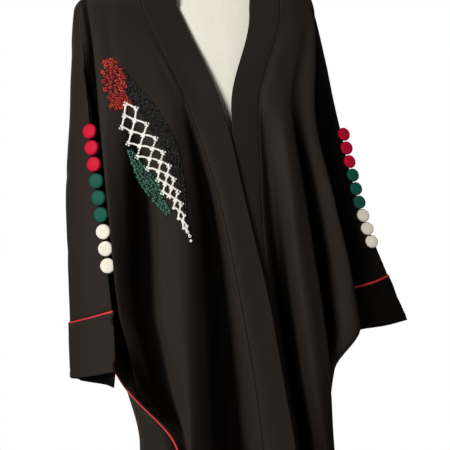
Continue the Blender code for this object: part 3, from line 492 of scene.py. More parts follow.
class Drape:
    """The whole cloth as rows of points with outward directions, and the creases pressed into it."""

    def __init__(self):
        self.lines = make_lines()
        self.index = {}
        for i, line in enumerate(self.lines):
            self.index.setdefault((line.side, line.name), []).append(i)
        self.levels = self.make_levels()
        self.cuff_row = self.levels.index(HEIGHTS["cuff"])
        rows = [self.make_row(j) for j in range(len(self.levels))]
        self.keys = [(j, key) for j, row in enumerate(rows) for key in row]
        self.where = {key: n for n, key in enumerate(self.keys)}
        self.rows = rows
        self.points = np.array([rows[j][key][:] for j, key in self.keys])
        self.normals = self.make_normals()
        self.press()
        self.normals = self.make_normals()
        self.painted_shade = self.make_painted_shade()

    def make_levels(self):
        """The rows' heights, from the shoulders to the hem."""
        stops = (
            (SHOULDER, HEIGHTS["neck"], TOP_ROW_STEP),
            (HEIGHTS["neck"], HEIGHTS["cuff"], ROW_STEP),
            (HEIGHTS["cuff"], HEIGHTS["low"], ROW_STEP),
            (HEIGHTS["low"], HEIGHTS["hem"], LOW_ROW_STEP),
        )
        levels = []
        for top, bottom, step in stops:
            count = math.ceil((top - bottom) / step)
            levels += [top + (bottom - top) * i / count for i in range(count)]
        return levels + [HEIGHTS["hem"]]

    def nearest_row(self, height):
        """The number of the row nearest to a height."""
        return min(range(len(self.levels)), key=lambda j: abs(self.levels[j] - height))

    def row_keys(self, j, first, last):
        """The keys of a row's points from one line to another."""
        return [k for k in self.rows[j] if (first, 0) <= k <= (last, 0)]

    def spot(self, n):
        """A point's place and its outward direction."""
        return Vector(self.points[n]), Vector(self.normals[n])

    def over_arm(self, side):
        """The place of a side's over-arm line."""
        return self.index[(side, "over_arm")][0]

    def seams(self, side):
        """The places of a side's two side seam lines, in their order round the cloth."""
        return sorted(self.index[(side, "side_seam")])

    def make_row(self, j):
        """A row's points by line and step. Below the cuffs the lines of the sleeves are left out."""
        level = self.levels[j]
        keep = list(range(len(self.lines)))
        if j > self.cuff_row:
            for side in ("right", "left"):
                first, last = self.seams(side)
                keep = [i for i in keep if not first < i <= last]
        row = {}
        seams = [n for n, i in enumerate(keep) if self.lines[i].name == "over_arm"]
        for first, last in zip([0] + seams, seams + [len(keep) - 1]):
            stretch = keep[first : last + 1]
            points = [self.lines[i].at(level) for i in stretch]
            for k, i in enumerate(stretch[:-1]):
                for s in range(STEPS):
                    share = column_share(s)
                    if j == 0:
                        row[(i, s)] = top_point(self.top_between(i, stretch[k + 1], share))
                    else:
                        row[(i, s)] = section_point(points, k, share)
        row[(keep[-1], 0)] = self.lines[keep[-1]].at(level)
        if HEIGHTS["neck"] < level < SHOULDER:
            bulge = SHOULDER_ROUND * math.sin(math.pi * (SHOULDER - level) / (SHOULDER - HEIGHTS["neck"]))
            crests = [row[(self.over_arm(side), 0)].y for side in ("right", "left")]
            for point in row.values():
                lean = max(-1, min(1, (point.y - crests[point.x > 0]) / SHOULDER_ROUND))
                point += Vector((0, BULGE_OUT * lean, BULGE_UP * abs(lean))) * bulge
        if j > self.cuff_row:
            for side in ("right", "left"):
                first, last = self.seams(side)
                row[(last, 0)] = row[(first, 0)].copy()
                for s in range(1, STEPS):
                    row[(last, s)] = row.pop((first, s))
        return dict(sorted(row.items()))

    def top_between(self, i, after, share):
        """A place on the upper seam between two lines."""
        here, there = self.lines[i].top, self.lines[after].top
        if here[0] == there[0]:
            return (here[0], here[1] + (there[1] - here[1]) * share)
        start = math.pi if self.lines[i].side == "right" else 0
        a = start if here[0] == "shoulder" else here[1]
        b = start if there[0] == "shoulder" else there[1]
        return ("neck", a + (b - a) * share)

    def make_normals(self):
        """Outward directions, the same on both sides of a side seam, and by rule at the upper seam."""
        normals = np.zeros_like(self.points)
        corners = np.array(self.cells()).T
        a, b, c, d = (self.points[n] for n in corners)
        faces = np.cross(c - a, d - b)
        for corner in corners:
            np.add.at(normals, corner, faces)
        for side in ("right", "left"):
            first, last = self.seams(side)
            for j in range(self.cuff_row + 1, len(self.levels)):
                pair = [self.where[(j, (first, 0))], self.where[(j, (last, 0))]]
                normals[pair] = normals[pair].sum(axis=0)
        normals /= np.maximum(np.linalg.norm(normals, axis=1, keepdims=True), 1e-12)
        for key in self.rows[0]:
            n = self.where[(0, key)]
            normals[n] = top_normal(Vector(self.points[n]))[:]
        for side, out in (("right", -1), ("left", 1)):
            n = self.where[(0, (self.over_arm(side), 0))]
            tip = Vector((out * SHOULDER_TIP_LEAN, 0, 1 - SHOULDER_TIP_LEAN * 0.5)).normalized()
            normals[n] = tip[:]
        return normals

    def cells(self, first=0, last=None):
        """The cells between two lines, each as its four corners' numbers, turning outwards."""
        last = len(self.lines) - 1 if last is None else last
        found = []
        for j in range(len(self.levels) - 1):
            below = self.rows[j + 1]
            keys = [k for k in self.row_keys(j, first, last) if k in below]
            for a, b in zip(keys, keys[1:]):
                if b[0] - a[0] > 1 or (below[a] - below[b]).length < 1e-6:
                    continue
                if a[1] != STEPS - 1 and b != (a[0], a[1] + 1):
                    continue
                found.append([self.where[k] for k in ((j, a), (j, b), (j + 1, b), (j + 1, a))])
        return found

    def place(self, line, height):
        """The number of the point nearest to a place along the lines and a height."""
        j = self.nearest_row(height)
        i = int(line)
        share = line - i
        s = min(range(STEPS + 1), key=lambda n: abs(column_share(n) - share))
        key = (i, s) if s < STEPS else (i + 1, 0)
        if key not in self.rows[j]:
            key = min(self.rows[j], key=lambda k: abs(k[0] + k[1] / STEPS - line))
        return self.where[(j, key)]

    def press(self):
        """Presses the creases, the seams and soft unevenness into the cloth."""
        strength = bpy.context.scene.abaya_cloth.crease_strength
        depth = np.zeros(len(self.points))
        for start, end, bow, width, deep in CREASES:
            count = max(4, int(abs(start[1] - end[1]) / CREASE_STEP) + 4)
            path = []
            for n in range(count + 1):
                t = n / count
                line = between(start[0], end[0], t) + bow * math.sin(math.pi * t)
                path.append(self.points[self.place(line, between(start[1], end[1], t))])
            away, along = self.from_path(np.array(path))
            near = (away / (width / 1000)) ** 2
            fade = np.sin(np.pi * np.clip(along, 0, 1)) ** CREASE_FADE
            depth += strength * deep / 1000 * (1 - CREASE_RIM * near) * np.exp(-near) * fade
        for n, point in enumerate(self.points):
            soft = noise.noise(Vector((point[0] * 9, point[1] * 9, point[2] * 4.5)))
            fine = noise.noise(Vector((point[0] * 26 + 7, point[1] * 26, point[2] * 12)))
            depth[n] += strength * (SOFT_RIPPLE * soft + FINE_RIPPLE * fine)
        calm = np.array([min(1, max(0, (SHOULDER - self.levels[j]) / CALM_TOP)) for j, _ in self.keys])
        self.points += self.normals * ((depth + self.seam_groove()) * calm)[:, None]

    def from_path(self, path):
        """How far each point lies from a path, and how far along it."""
        best = np.full(len(self.points), 1e9)
        along = np.zeros(len(self.points))
        count = len(path) - 1
        for n in range(count):
            a, b = path[n], path[n + 1]
            line = b - a
            size = max(float(line @ line), 1e-12)
            t = np.clip((self.points - a) @ line / size, 0, 1)
            away = np.linalg.norm(self.points - (a + t[:, None] * line), axis=1)
            closer = away < best
            best[closer] = away[closer]
            along[closer] = (n + t[closer]) / count
        return best, along

    def make_painted_shade(self):
        """How far into a fold each point lies, from 0 on the open cloth to 1 in the deepest valley."""
        painted_shade = np.zeros(len(self.points))
        for j, row in enumerate(self.rows):
            numbers = np.array([self.where[(j, k)] for k in row])
            places = self.points[numbers]
            steps = np.linalg.norm(np.diff(places, axis=0), axis=1)
            reach = np.concatenate(([0], np.cumsum(steps)))
            for span in HOLLOW_SPANS:
                for n, here in enumerate(reach):
                    if here < span or here > reach[-1] - span:
                        continue
                    sides = [
                        np.array([np.interp(here + way, reach, places[:, k]) for k in range(3)])
                        for way in (-span, span)
                    ]
                    rise = (sides[0] + sides[1] - 2 * places[n]) @ self.normals[numbers[n]] / (2 * span)
                    painted_shade[numbers[n]] = max(painted_shade[numbers[n]], rise / HOLLOW_RISE)
        painted_shade = np.clip(painted_shade, 0, 1)
        for n, (j, (line, step)) in enumerate(self.keys):
            across, height = line + step / STEPS, self.points[n][2]
            for start, end, low, high in CHEST_FOLD_SHADE:
                if start <= across < end:
                    painted_shade[n] *= 1 - CHEST_CALM * smooth((height - low) / (high - low))
            for middle, level, half_lines, half_height, depth in SHADES:
                away = math.hypot((across - middle) / half_lines, (height - level) / half_height)
                if away < 1:
                    painted_shade[n] = 1 - (1 - painted_shade[n]) * (1 - depth * smooth(1.6 * (1 - away)))
        return painted_shade

    def seam_groove(self):
        """The cloth dips a little at its seams; the side seams' dip holds the piping."""
        groove = np.zeros(len(self.points))
        self.seam_near = np.zeros(len(self.points))
        for n, (_, (i, s)) in enumerate(self.keys):
            for line, step in ((i, s), (i + 1, STEPS - s)):
                if line >= len(self.lines):
                    continue
                name = self.lines[line].name
                if name in ("band_seam", "over_arm", "side_seam"):
                    share = column_share(step)
                    groove[n] = min(groove[n], -SEAM_DIP * bell(share / SEAM_DIP_WIDTH))
                    self.seam_near[n] = max(self.seam_near[n], bell(share / PUCKER_WIDTH))
        return groove

    def path(self, line, first=0, last=None):
        """A line's points and outward directions, from one row to another."""
        found = []
        for j in range(first, len(self.levels) if last is None else last + 1):
            n = self.where.get((j, (line, 0)))
            if n is not None:
                found.append(self.spot(n))
        return found


made = {}  # what the operators share: the cloth and the materials


def drape():
    """The one cloth, worked out on its first use."""
    if "drape" not in made:
        made["drape"] = Drape()
    return made["drape"]


class Shade:
    """A material's node tree, with its Principled shader, and short ways to add nodes to it."""

    def __init__(self, name, roughness, specular, sheen=0.0):
        self.material = bpy.data.materials.new(name)
        self.material.use_nodes = True
        self.tree = self.material.node_tree
        self.shader = self.tree.nodes["Principled BSDF"]
        self.place = self.node("ShaderNodeTexCoord")
        for socket, value in (
            ("Roughness", roughness), ("Specular IOR Level", specular), ("Sheen Weight", sheen),
        ):
            self.shader.inputs[socket].default_value = value
        self.height = None

    def node(self, kind, **values):
        """A new node with its settings and its sockets' values."""
        made_node = self.tree.nodes.new(kind)
        for key, value in values.items():
            if hasattr(made_node, key) and key not in made_node.inputs:
                setattr(made_node, key, value)
            else:
                made_node.inputs[key.replace("_", " ")].default_value = value
        return made_node

    def join(self, output, socket):
        self.tree.links.new(output, socket)

    def mapped(self, coordinates, scale):
        """Texture coordinates at a scale."""
        mapping = self.node("ShaderNodeMapping", Scale=scale)
        self.join(self.place.outputs[coordinates], mapping.inputs["Vector"])
        return mapping.outputs["Vector"]

    def noise(self, vector, scale, detail, roughness=0.5):
        node = self.node("ShaderNodeTexNoise", Scale=scale, Detail=detail, Roughness=roughness)
        self.join(vector, node.inputs["Vector"])
        return node.outputs["Fac"]

    def wave(self, vector, scale, direction, distortion):
        node = self.node("ShaderNodeTexWave", Scale=scale, Distortion=distortion)
        node.bands_direction = direction
        self.join(vector, node.inputs["Vector"])
        return node.outputs["Fac"]

    def sum(self, a, b, operation="ADD", clamp=False):
        """Two values added, or joined by another operation."""
        node = self.node("ShaderNodeMath", operation=operation)
        node.use_clamp = clamp
        for value, socket in ((a, node.inputs[0]), (b, node.inputs[1])):
            if isinstance(value, (int, float)):
                socket.default_value = value
            else:
                self.join(value, socket)
        return node.outputs[0]

    def blend(self, a, share_a, b, share_b):
        """Two values added by their shares."""
        return self.sum(self.sum(a, share_a, "MULTIPLY"), self.sum(b, share_b, "MULTIPLY"))

    def attribute(self, name):
        """A value that the mesh holds at each point."""
        node = self.node("ShaderNodeAttribute")
        node.attribute_name = name
        return node.outputs["Fac"]

    def times(self, a, b):
        """Two colours multiplied."""
        node = self.node("ShaderNodeMix", data_type="RGBA", blend_type="MULTIPLY")
        node.inputs["Factor"].default_value = 1
        self.join(a, node.inputs[6])
        self.join(b, node.inputs[7])
        return node.outputs[2]

    def ramp(self, value, stops):
        """A value's colour between stops, each a place and a colour."""
        node = self.node("ShaderNodeValToRGB")
        while len(node.color_ramp.elements) < len(stops):
            node.color_ramp.elements.new(0.5)
        for element, (position, colour) in zip(node.color_ramp.elements, stops):
            element.position = position
            element.color = (*colour, 1)
        self.join(value, node.inputs["Fac"])
        return node.outputs["Color"]

    def colour(self, value, low, high, start=0.3, end=0.7):
        """The base colour runs from low to high as value goes from start to end."""
        self.join(self.ramp(value, ((start, low), (end, high))), self.shader.inputs["Base Color"])

    def bump(self, value, strength, distance):
        """A fine relief on top of those before it."""
        node = self.node("ShaderNodeBump", Strength=strength, Distance=distance)
        self.join(value, node.inputs["Height"])
        if self.height is not None:
            self.join(self.height, node.inputs["Normal"])
        self.height = node.outputs["Normal"]
        self.join(self.height, self.shader.inputs["Normal"])


def tinted(colour, factor):
    """A colour made darker or lighter."""
    return tuple(min(1, c * factor) for c in colour)


def crepe(name, colour):
    """Matte black crepe: a fine pebble, faint slubs down the cloth and small puckers at its seams."""
    shade = Shade(name, roughness=0.75, specular=0.20, sheen=0.03)
    shade.shader.inputs["Sheen Roughness"].default_value = 0.45
    shade.shader.inputs["Sheen Tint"].default_value = (0.55, 0.46, 0.40, 1)
    shade.shader.inputs["Specular Tint"].default_value = (1.0, 0.84, 0.72, 1)
    cloud = shade.noise(shade.mapped("Object", (1, 1, 0.5)), 7, 3)
    slub = shade.noise(shade.mapped("UV", (260, 18, 1)), 1, 3)
    mixed = shade.blend(cloud, 0.6, slub, 0.4)
    # Painted shade: the base colour runs from almost black where the shade is full to a little lighter than the
    # cloth's colour on the open cloth, and the gloss fades with the shade
    fold = shade.attribute("painted_shade")
    lit = shade.sum(shade.sum(mixed, 0.4, "MULTIPLY"), shade.sum(0.6, fold, "SUBTRACT"), clamp=True)
    painted_shade_steps = ((0.0, 0.06), (0.35, 0.35), (0.70, 0.92), (1.0, 1.25))
    stops = tuple((at, tinted(colour, share)) for at, share in painted_shade_steps)
    patches = shade.noise(shade.mapped("Object", (1, 1, 0.35)), 5.5, 2)
    tint = shade.ramp(patches, ((0.35, (1.0, 0.90, 0.98)), (0.65, (1.0, 1.0, 0.90))))
    shade.join(shade.times(shade.ramp(lit, stops), tint), shade.shader.inputs["Base Color"])
    gloss = shade.node("ShaderNodeMapRange")
    gloss.inputs["To Min"].default_value = 0.20
    gloss.inputs["To Max"].default_value = 0.02
    shade.join(fold, gloss.inputs["Value"])
    shade.join(gloss.outputs["Result"], shade.shader.inputs["Specular IOR Level"])
    pebble = shade.noise(shade.mapped("UV", (1, 1, 1)), 1100, 3, 0.6)
    shade.bump(pebble, 0.22, 0.0003)
    shade.bump(slub, 0.10, 0.0004)
    seam = shade.attribute("seam")
    pucker = shade.noise(shade.mapped("Object", (60, 60, 130)), 1, 1)
    shade.bump(shade.sum(pucker, seam, "MULTIPLY"), 0.8, 0.0016)
    return shade.material


def covered(name, colour, specular=0.12):
    """Tight satin over a button's mould or over a cord: a fine ribbed weave, a little gloss."""
    shade = Shade(name, roughness=0.60, specular=specular, sheen=0.02)
    grain = shade.noise(shade.mapped("Object", (900, 900, 900)), 1, 2)
    cloud = shade.noise(shade.mapped("Object", (60, 60, 60)), 1, 2)
    shade.colour(shade.blend(grain, 0.5, cloud, 0.5), tinted(colour, 0.86), tinted(colour, 1.08))
    shade.bump(grain, 0.25, 0.0002)
    return shade.material


def glass_beads(name, dark, light, roughness, gloss):
    """Glossy seed beads that differ a little from one to the next."""
    shade = Shade(name, roughness=roughness, specular=gloss)
    spread = shade.noise(shade.mapped("Object", (420, 420, 420)), 1, 1)
    shade.colour(spread, dark, light, 0.42, 0.66)
    shade.shader.inputs["Coat Weight"].default_value = gloss / 2
    shade.shader.inputs["Coat Roughness"].default_value = 0.12
    return shade.material


def linen_cloth(name, colour):
    """Cream linen in plain weave, with thicker and thinner threads."""
    shade = Shade(name, roughness=0.88, specular=0.2, sheen=0.08)
    across = shade.wave(shade.mapped("UV", (1, 1, 1)), 150, "X", 1.2)
    along = shade.wave(shade.mapped("UV", (1, 1, 1)), 150, "Y", 1.2)
    weave = shade.sum(across, along, "MULTIPLY")
    slub_across = shade.noise(shade.mapped("UV", (30, 900, 1)), 1, 2)
    slub_along = shade.noise(shade.mapped("UV", (900, 30, 1)), 1, 2)
    slubs = shade.sum(slub_across, slub_along)
    value = shade.blend(weave, 0.35, slubs, 0.4)
    shade.colour(value, tinted(colour, 0.90), tinted(colour, 1.04), 0.25, 0.75)
    shade.bump(weave, 0.35, 0.0003)
    shade.bump(slubs, 0.25, 0.0004)
    return shade.material


def varnished_wood(name, colour):
    """Turned wood with its rings and grain, under varnish."""
    shade = Shade(name, roughness=0.38, specular=0.5)
    rings = shade.wave(shade.mapped("Object", (60, 60, 12)), 1, "X", 6)
    grain = shade.noise(shade.mapped("Object", (300, 300, 24)), 1, 4)
    shade.colour(shade.blend(rings, 0.6, grain, 0.4), tinted(colour, 0.6), tinted(colour, 1.3))
    shade.bump(grain, 0.12, 0.0003)
    shade.shader.inputs["Coat Weight"].default_value = 0.25
    return shade.material


def powder_coat(name, colour):
    """Metal under a matte, finely speckled coat."""
    shade = Shade(name, roughness=0.45, specular=0.5)
    speckle = shade.noise(shade.mapped("Object", (700, 700, 700)), 1, 2)
    shade.colour(speckle, tinted(colour, 0.85), tinted(colour, 1.25))
    shade.bump(speckle, 0.2, 0.0002)
    return shade.material


def finish_of(key):
    """The material of a finish; each is made once, from the colours that the user may change."""
    if key not in made:
        scene = bpy.context.scene
        trims, form = scene.abaya_trims, scene.abaya_form
        maker, name, colour, *rest = {
            "black_cloth": (crepe, "black_crepe", scene.abaya_cloth.colour),
            "red_piping": (covered, "red_satin_cord", trims.piping_colour, 0.35),
            "red_button": (covered, "red_satin", trims.red),
            "green_button": (covered, "green_satin", trims.green),
            "cream_button": (covered, "cream_satin", trims.cream),
            "red_beads": (glass_beads, "red_glass", (0.16, 0.003, 0.006), (0.95, 0.085, 0.05), 0.3, 0.3),
            # The black beads' lighter tone is partly painted glints
            "black_beads": (
                glass_beads, "black_glass", (0.0025, 0.0025, 0.0022), (0.034, 0.036, 0.031), 0.2, 0.15,
            ),
            "net_beads": (glass_beads, "pearl_white", (0.80, 0.77, 0.70), (0.92, 0.89, 0.82), 0.4, 0.3),
            # The green beads' lighter tone is partly painted glints
            "green_beads": (glass_beads, "green_glass", (0.004, 0.040, 0.026), (0.110, 0.30, 0.20), 0.3, 0.3),
            "black_thread": (covered, "black_thread", (0.016, 0.015, 0.013)),
            "linen": (linen_cloth, "cream_linen", form.linen),
            "wood": (varnished_wood, "varnished_beech", form.wood),
            "dark_metal": (powder_coat, "black_powder_coat", (0.022, 0.022, 0.022)),
        }[key]
        made[key] = maker(name, tuple(colour), *rest)
    return made[key]


def placed(name, data):
    """A new object in the scene."""
    obj = bpy.data.objects.new(name, data)
    bpy.context.scene.collection.objects.link(obj)
    return obj


def grid_faces(strips, steps, closed=False):
    """The faces of strips side by side; their points come line by line, each line with steps + 1 of them."""
    faces = []
    for n in range(strips):
        after = (n + 1) % strips if closed else n + 1
        for k in range(steps):
            a, b = n * (steps + 1) + k, after * (steps + 1) + k
            faces.append((a, b, b + 1, a + 1))
    return faces


def mesh_object(name, points, faces, finish, uvs, seam, painted_shade=None):
    """A new smooth mesh in the scene, with its UVs in metres, its nearness to a seam and its hollows."""
    mesh = bpy.data.meshes.new(name)
    mesh.from_pydata([tuple(p) for p in points], [], [tuple(f) for f in faces])
    layer = mesh.uv_layers.new(name="cloth")
    for loop in mesh.loops:
        layer.data[loop.index].uv = uvs[loop.vertex_index]
    for key, found in (("seam", seam), ("painted_shade", painted_shade)):
        if found is not None:
            mesh.attributes.new(key, "FLOAT", "POINT").data.foreach_set("value", [float(v) for v in found])
    mesh.update()
    mesh.shade_smooth()
    mesh.materials.append(finish)
    return placed(name, mesh)


def thicken(obj, thickness, bevel=0.0):
    """Gives cloth its thickness inwards, and a softened edge."""
    wall = obj.modifiers.new("thickness", "SOLIDIFY")
    wall.thickness = thickness
    wall.offset = -1
    if bevel:
        edge = obj.modifiers.new("edge", "BEVEL")
        edge.width = bevel
        edge.segments = 2
        edge.limit_method = "ANGLE"
        edge.angle_limit = math.radians(60)
    return obj


def plain_mesh(obj):
    """Turns an object's modifiers' result into its plain mesh."""
    graph = bpy.context.evaluated_depsgraph_get()
    mesh = bpy.data.meshes.new_from_object(obj.evaluated_get(graph), depsgraph=graph)
    obj.modifiers.clear()
    obj.data = mesh
    return obj


def panel(name, first, last, thickness, bevel=0.0):
    """A piece of the cloth between two of its lines."""
    cloth = drape()
    cells = cloth.cells(first, last)
    used = sorted({n for cell in cells for n in cell})
    number = {n: i for i, n in enumerate(used)}
    width = {}
    reached = 0.0
    row = cloth.nearest_row(1.0)
    keys = cloth.row_keys(row, first, last)
    for a, b in zip(keys, keys[1:]):
        width[a] = reached
        reached += (cloth.rows[row][b] - cloth.rows[row][a]).length
    width[keys[-1]] = reached
    uvs = [(width.get(cloth.keys[n][1], 0), cloth.points[n][2]) for n in used]
    points, seam, painted_shade = cloth.points[used], cloth.seam_near[used], cloth.painted_shade[used]
    faces = [[number[n] for n in cell] for cell in cells]
    obj = mesh_object(name, points, faces, finish_of("black_cloth"), uvs, seam, painted_shade)
    return thicken(obj, thickness, bevel)


def worn(obj, slot, *nodes):
    """The piece rides on the part's one body, in place of its nodes."""
    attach(obj, "root")
    if nodes:
        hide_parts(*nodes)
    return obj


# The cut of each sheet: flat width and length, and flat area where the cut isn't a rectangle
CUTS = {
    "front_right": (0.53, 1.50, 0.404),
    "front_left": (0.41, 1.47, 0.345),
    "back": (0.87, 1.53, 0.958),
    "front_band_right": (0.061, 1.48, 0.075),
    "front_band_left": (0.058, 1.47, 0.068),
    "neck_band": (0.052, 0.27, None),
    "cuff_right": (0.234, 0.122, 0.0240),
    "cuff_left": (0.226, 0.091, 0.0205),
}


def declare_cut(obj):
    """States a sheet's flat cut, how it is held and what it rests on."""
    width, length, area = CUTS[obj.name.removesuffix("_cloth")]


def make_panels():
    """The two fronts and the back, each in one with its sleeves."""
    for name, first, last, nodes in (
        ("front_right", 1, 10, ("front_right",)), ("back", 10, 24, ("back_upper", "back_lower")),
        ("front_left", 24, 33, ("front_left",)),
    ):
        obj = worn(panel(f"{name}_cloth", first, last, WALL), "black_cloth", *nodes)
        declare_cut(obj)


def neck_band():
    """The band round the back neck, from its free edge to its seam with the back."""
    points, uvs = [], []
    for n in range(NECK_BAND_COLUMNS + 1):
        angle = math.pi * (1 - n / NECK_BAND_COLUMNS)
        seam = neck_seam_point(angle)
        edge = Vector((
            NECK_POINT_X * math.cos(angle),
            SHOULDER_Y + (BACK_NECK_EDGE_Y - SHOULDER_Y) * math.sin(angle),
            NECK_POINT_Z + BACK_NECK_RISE * math.sin(angle),
        ))
        for r in range(NECK_BAND_ROWS + 1):
            t = r / NECK_BAND_ROWS
            point = edge.lerp(seam, t)
            dip = SEAM_DIP * bell((1 - t) / 0.1) * math.sin(angle)
            point.z += NECK_BAND_CROWN * math.sin(math.pi * t) - dip
            points.append(point)
            uvs.append((NECK_BAND_SIZE[0] * n / NECK_BAND_COLUMNS, NECK_BAND_SIZE[1] * t))
    faces = grid_faces(NECK_BAND_COLUMNS, NECK_BAND_ROWS)
    obj = mesh_object("neck_band_cloth", points, faces, finish_of("black_cloth"), uvs, [0.0] * len(points))
    if obj.data.polygons[len(faces) // 2].normal.z < 0:
        obj.data.flip_normals()
    return thicken(obj, BAND_WALL, EDGE_BEVEL)


def make_bands():
    """The doubled bands down both fronts and round the back neck."""
    for name, first, last in (("front_band_right", 0, 1), ("front_band_left", 33, 34)):
        obj = worn(panel(f"{name}_cloth", first, last, BAND_WALL, EDGE_BEVEL), "black_cloth", name)
        declare_cut(obj)
    obj = worn(neck_band(), "black_cloth", "neck_band")
    declare_cut(obj)


def cuff_loop(side):
    """The lower end of a sleeve, from the front's side seam over the over-arm seam to the back's.

    It is given as its points' keys and as their places.
    """
    cloth = drape()
    first, last = cloth.seams(side)
    keys = [k for k in cloth.rows[cloth.cuff_row] if (first, 0) <= k < (last, 0)]
    return keys, [Vector(cloth.points[cloth.where[(cloth.cuff_row, k)]]) for k in keys]


def longer(keys, i, share):
    """How much lower the right cuff hangs at one of its points than the layer that faces outwards."""
    cloth = drape()
    beside_over_arm, at_side_seam = RIGHT_CUFF_LONGER
    if keys[i] < (cloth.over_arm("right"), 0):
        return min(1, (1 - share) / RIGHT_CUFF_EASE) * between(at_side_seam, beside_over_arm, share)
    edge = keys.index((cloth.index[("right", "sleeve_edge")][0], 0))
    return at_side_seam * max(0, i - edge) / (len(keys) - edge)


def cuff_drops(side, keys, loop):
    """From each point of the cuff's upper edge to its lower one."""
    axis = loop[keys.index((drape().over_arm(side), 0))] - loop[0]
    ends = {end: Vector(metres(v)) for end, v in CUFF_DROP[side].items()}
    drops = []
    for i, point in enumerate(loop):
        share = min(1, max(0, (point - loop[0]).dot(axis) / axis.length_squared))
        drop = ends["side_seam"].lerp(ends["over_arm"], share)
        if side == "right":
            drop.z -= longer(keys, i, share)
        drops.append(drop)
    return drops


def make_cuffs():
    """The doubled cuffs, pressed in at their hems, and shaded where no light reaches them."""
    for side in ("right", "left"):
        keys, loop = cuff_loop(side)
        count = len(loop)
        middle = sum(loop, Vector()) / count
        drops = cuff_drops(side, keys, loop)
        outs = [(loop[(i + 1) % count] - loop[i - 1]).cross(drops[i]).normalized() for i in range(count)]
        facing = math.copysign(1, outs[0].dot(loop[0] - middle))
        points, uvs, near, shaded = [], [], [], []
        reached = 0.0
        for i in range(count):
            inner = keys[i] < (drape().over_arm("right"), 0)
            for r in range(CUFF_ROWS + 1):
                t = r / CUFF_ROWS
                point = loop[i] + drops[i] * t
                soft = noise.noise(point * 22) * CUFF_RIPPLE * math.sin(math.pi * min(1, t + 0.2))
                hem = -CUFF_HEM_DIP * bell((t - CUFF_HEM) / 0.02)
                top = CUFF_TOP_RISE * bell(t / 0.1)
                points.append(point + outs[i] * facing * (soft + hem + top))
                uvs.append((reached, -drops[i].length * t))
                near.append(bell(t / 0.12) + 0.5 * bell((t - CUFF_HEM) / 0.05))
                # Painted shade: all over the left cuff, and on the right cuff's layer before its over-arm seam
                # from halfway down to its hem
                shaded.append(CUFF_SHADE if side == "left" else 0.9 * inner * smooth((t - 0.55) / 0.25))
            reached += (loop[(i + 1) % count] - loop[i]).length
        faces = grid_faces(count, CUFF_ROWS, closed=True)
        obj = mesh_object(f"cuff_{side}_cloth", points, faces, finish_of("black_cloth"), uvs, near, shaded)
        face = obj.data.polygons[0]
        if face.normal.dot(face.center - middle) < 0:
            obj.data.flip_normals()
        worn(thicken(obj, BAND_WALL, EDGE_BEVEL), "black_cloth", f"cuff_{side}")
        declare_cut(obj)


def tube(name, path, radius, finish, closed=False):
    """A round cord along a path, as a mesh."""
    curve = bpy.data.curves.new(name, "CURVE")
    curve.dimensions = "3D"
    curve.bevel_depth = radius
    curve.bevel_resolution = 5
    curve.use_fill_caps = not closed
    spline = curve.splines.new("POLY")
    spline.points.add(len(path) - 1)
    for point, place in zip(spline.points, path):
        point.co = (*place, 1)
    spline.use_cyclic_u = closed
    source = placed(name, curve)
    graph = bpy.context.evaluated_depsgraph_get()
    mesh = bpy.data.meshes.new_from_object(source.evaluated_get(graph), depsgraph=graph)
    bpy.data.objects.remove(source)
    mesh.shade_smooth()
    mesh.materials.clear()
    mesh.materials.append(finish)
    return placed(name, mesh)


def make_piping():
    """The red cords in the cuffs' seams and down the side seams."""
    cloth = drape()
    finish = finish_of("red_piping")
    radius = bpy.context.scene.abaya_trims.piping_radius
    for side in ("right", "left"):
        _, loop = cuff_loop(side)
        cord = tube(f"cuff_piping_{side}_cord", loop, radius, finish, closed=True)
        worn(cord, "red_piping", f"cuff_piping_{side}")
        path = cloth.path(cloth.seams(side)[0], cloth.cuff_row)
        places = [point - out * PIPING_SINK for point, out in path][2:]
        worn(tube(f"side_piping_{side}_cord", places, radius, finish), "red_piping", f"side_piping_{side}")


def lathe(name, profile, segments, finish):
    """A turned piece: closed rings of the profile's radii at its heights, with its ends closed."""
    shape = bmesh.new()
    turns = [2 * math.pi * n / segments for n in range(segments)]
    rings = [
        [shape.verts.new((radius * math.cos(turn), radius * math.sin(turn), height)) for turn in turns]
        for radius, height in profile
    ]
    for lower, upper in zip(rings, rings[1:]):
        for n in range(segments):
            m = (n + 1) % segments
            shape.faces.new((lower[n], lower[m], upper[m], upper[n]))
    shape.faces.new(rings[0][::-1])
    shape.faces.new(rings[-1])
    bmesh.ops.recalc_face_normals(shape, faces=shape.faces)
    mesh = bpy.data.meshes.new(name)
    shape.to_mesh(mesh)
    shape.free()
    mesh.shade_smooth()
    mesh.set_sharp_from_angle(angle=math.radians(42))
    mesh.materials.append(finish)
    return placed(name, mesh)


def button_profile(diameter, height):
    """A covered button's section: a low back, a rolled edge and a crowned face."""
    radius = diameter / 2
    shape = [(0.30, 0.0), (0.62, 0.03), (0.86, 0.10), (0.97, 0.24), (1.0, 0.40), (0.99, 0.58), (0.965, 0.71)]
    shape += [(0.915, 0.81), (0.84, 0.875), (0.70, 0.925), (0.50, 0.96), (0.25, 0.985), (0.04, 1.0)]
    return [(r * radius, h * height) for r, h in shape]


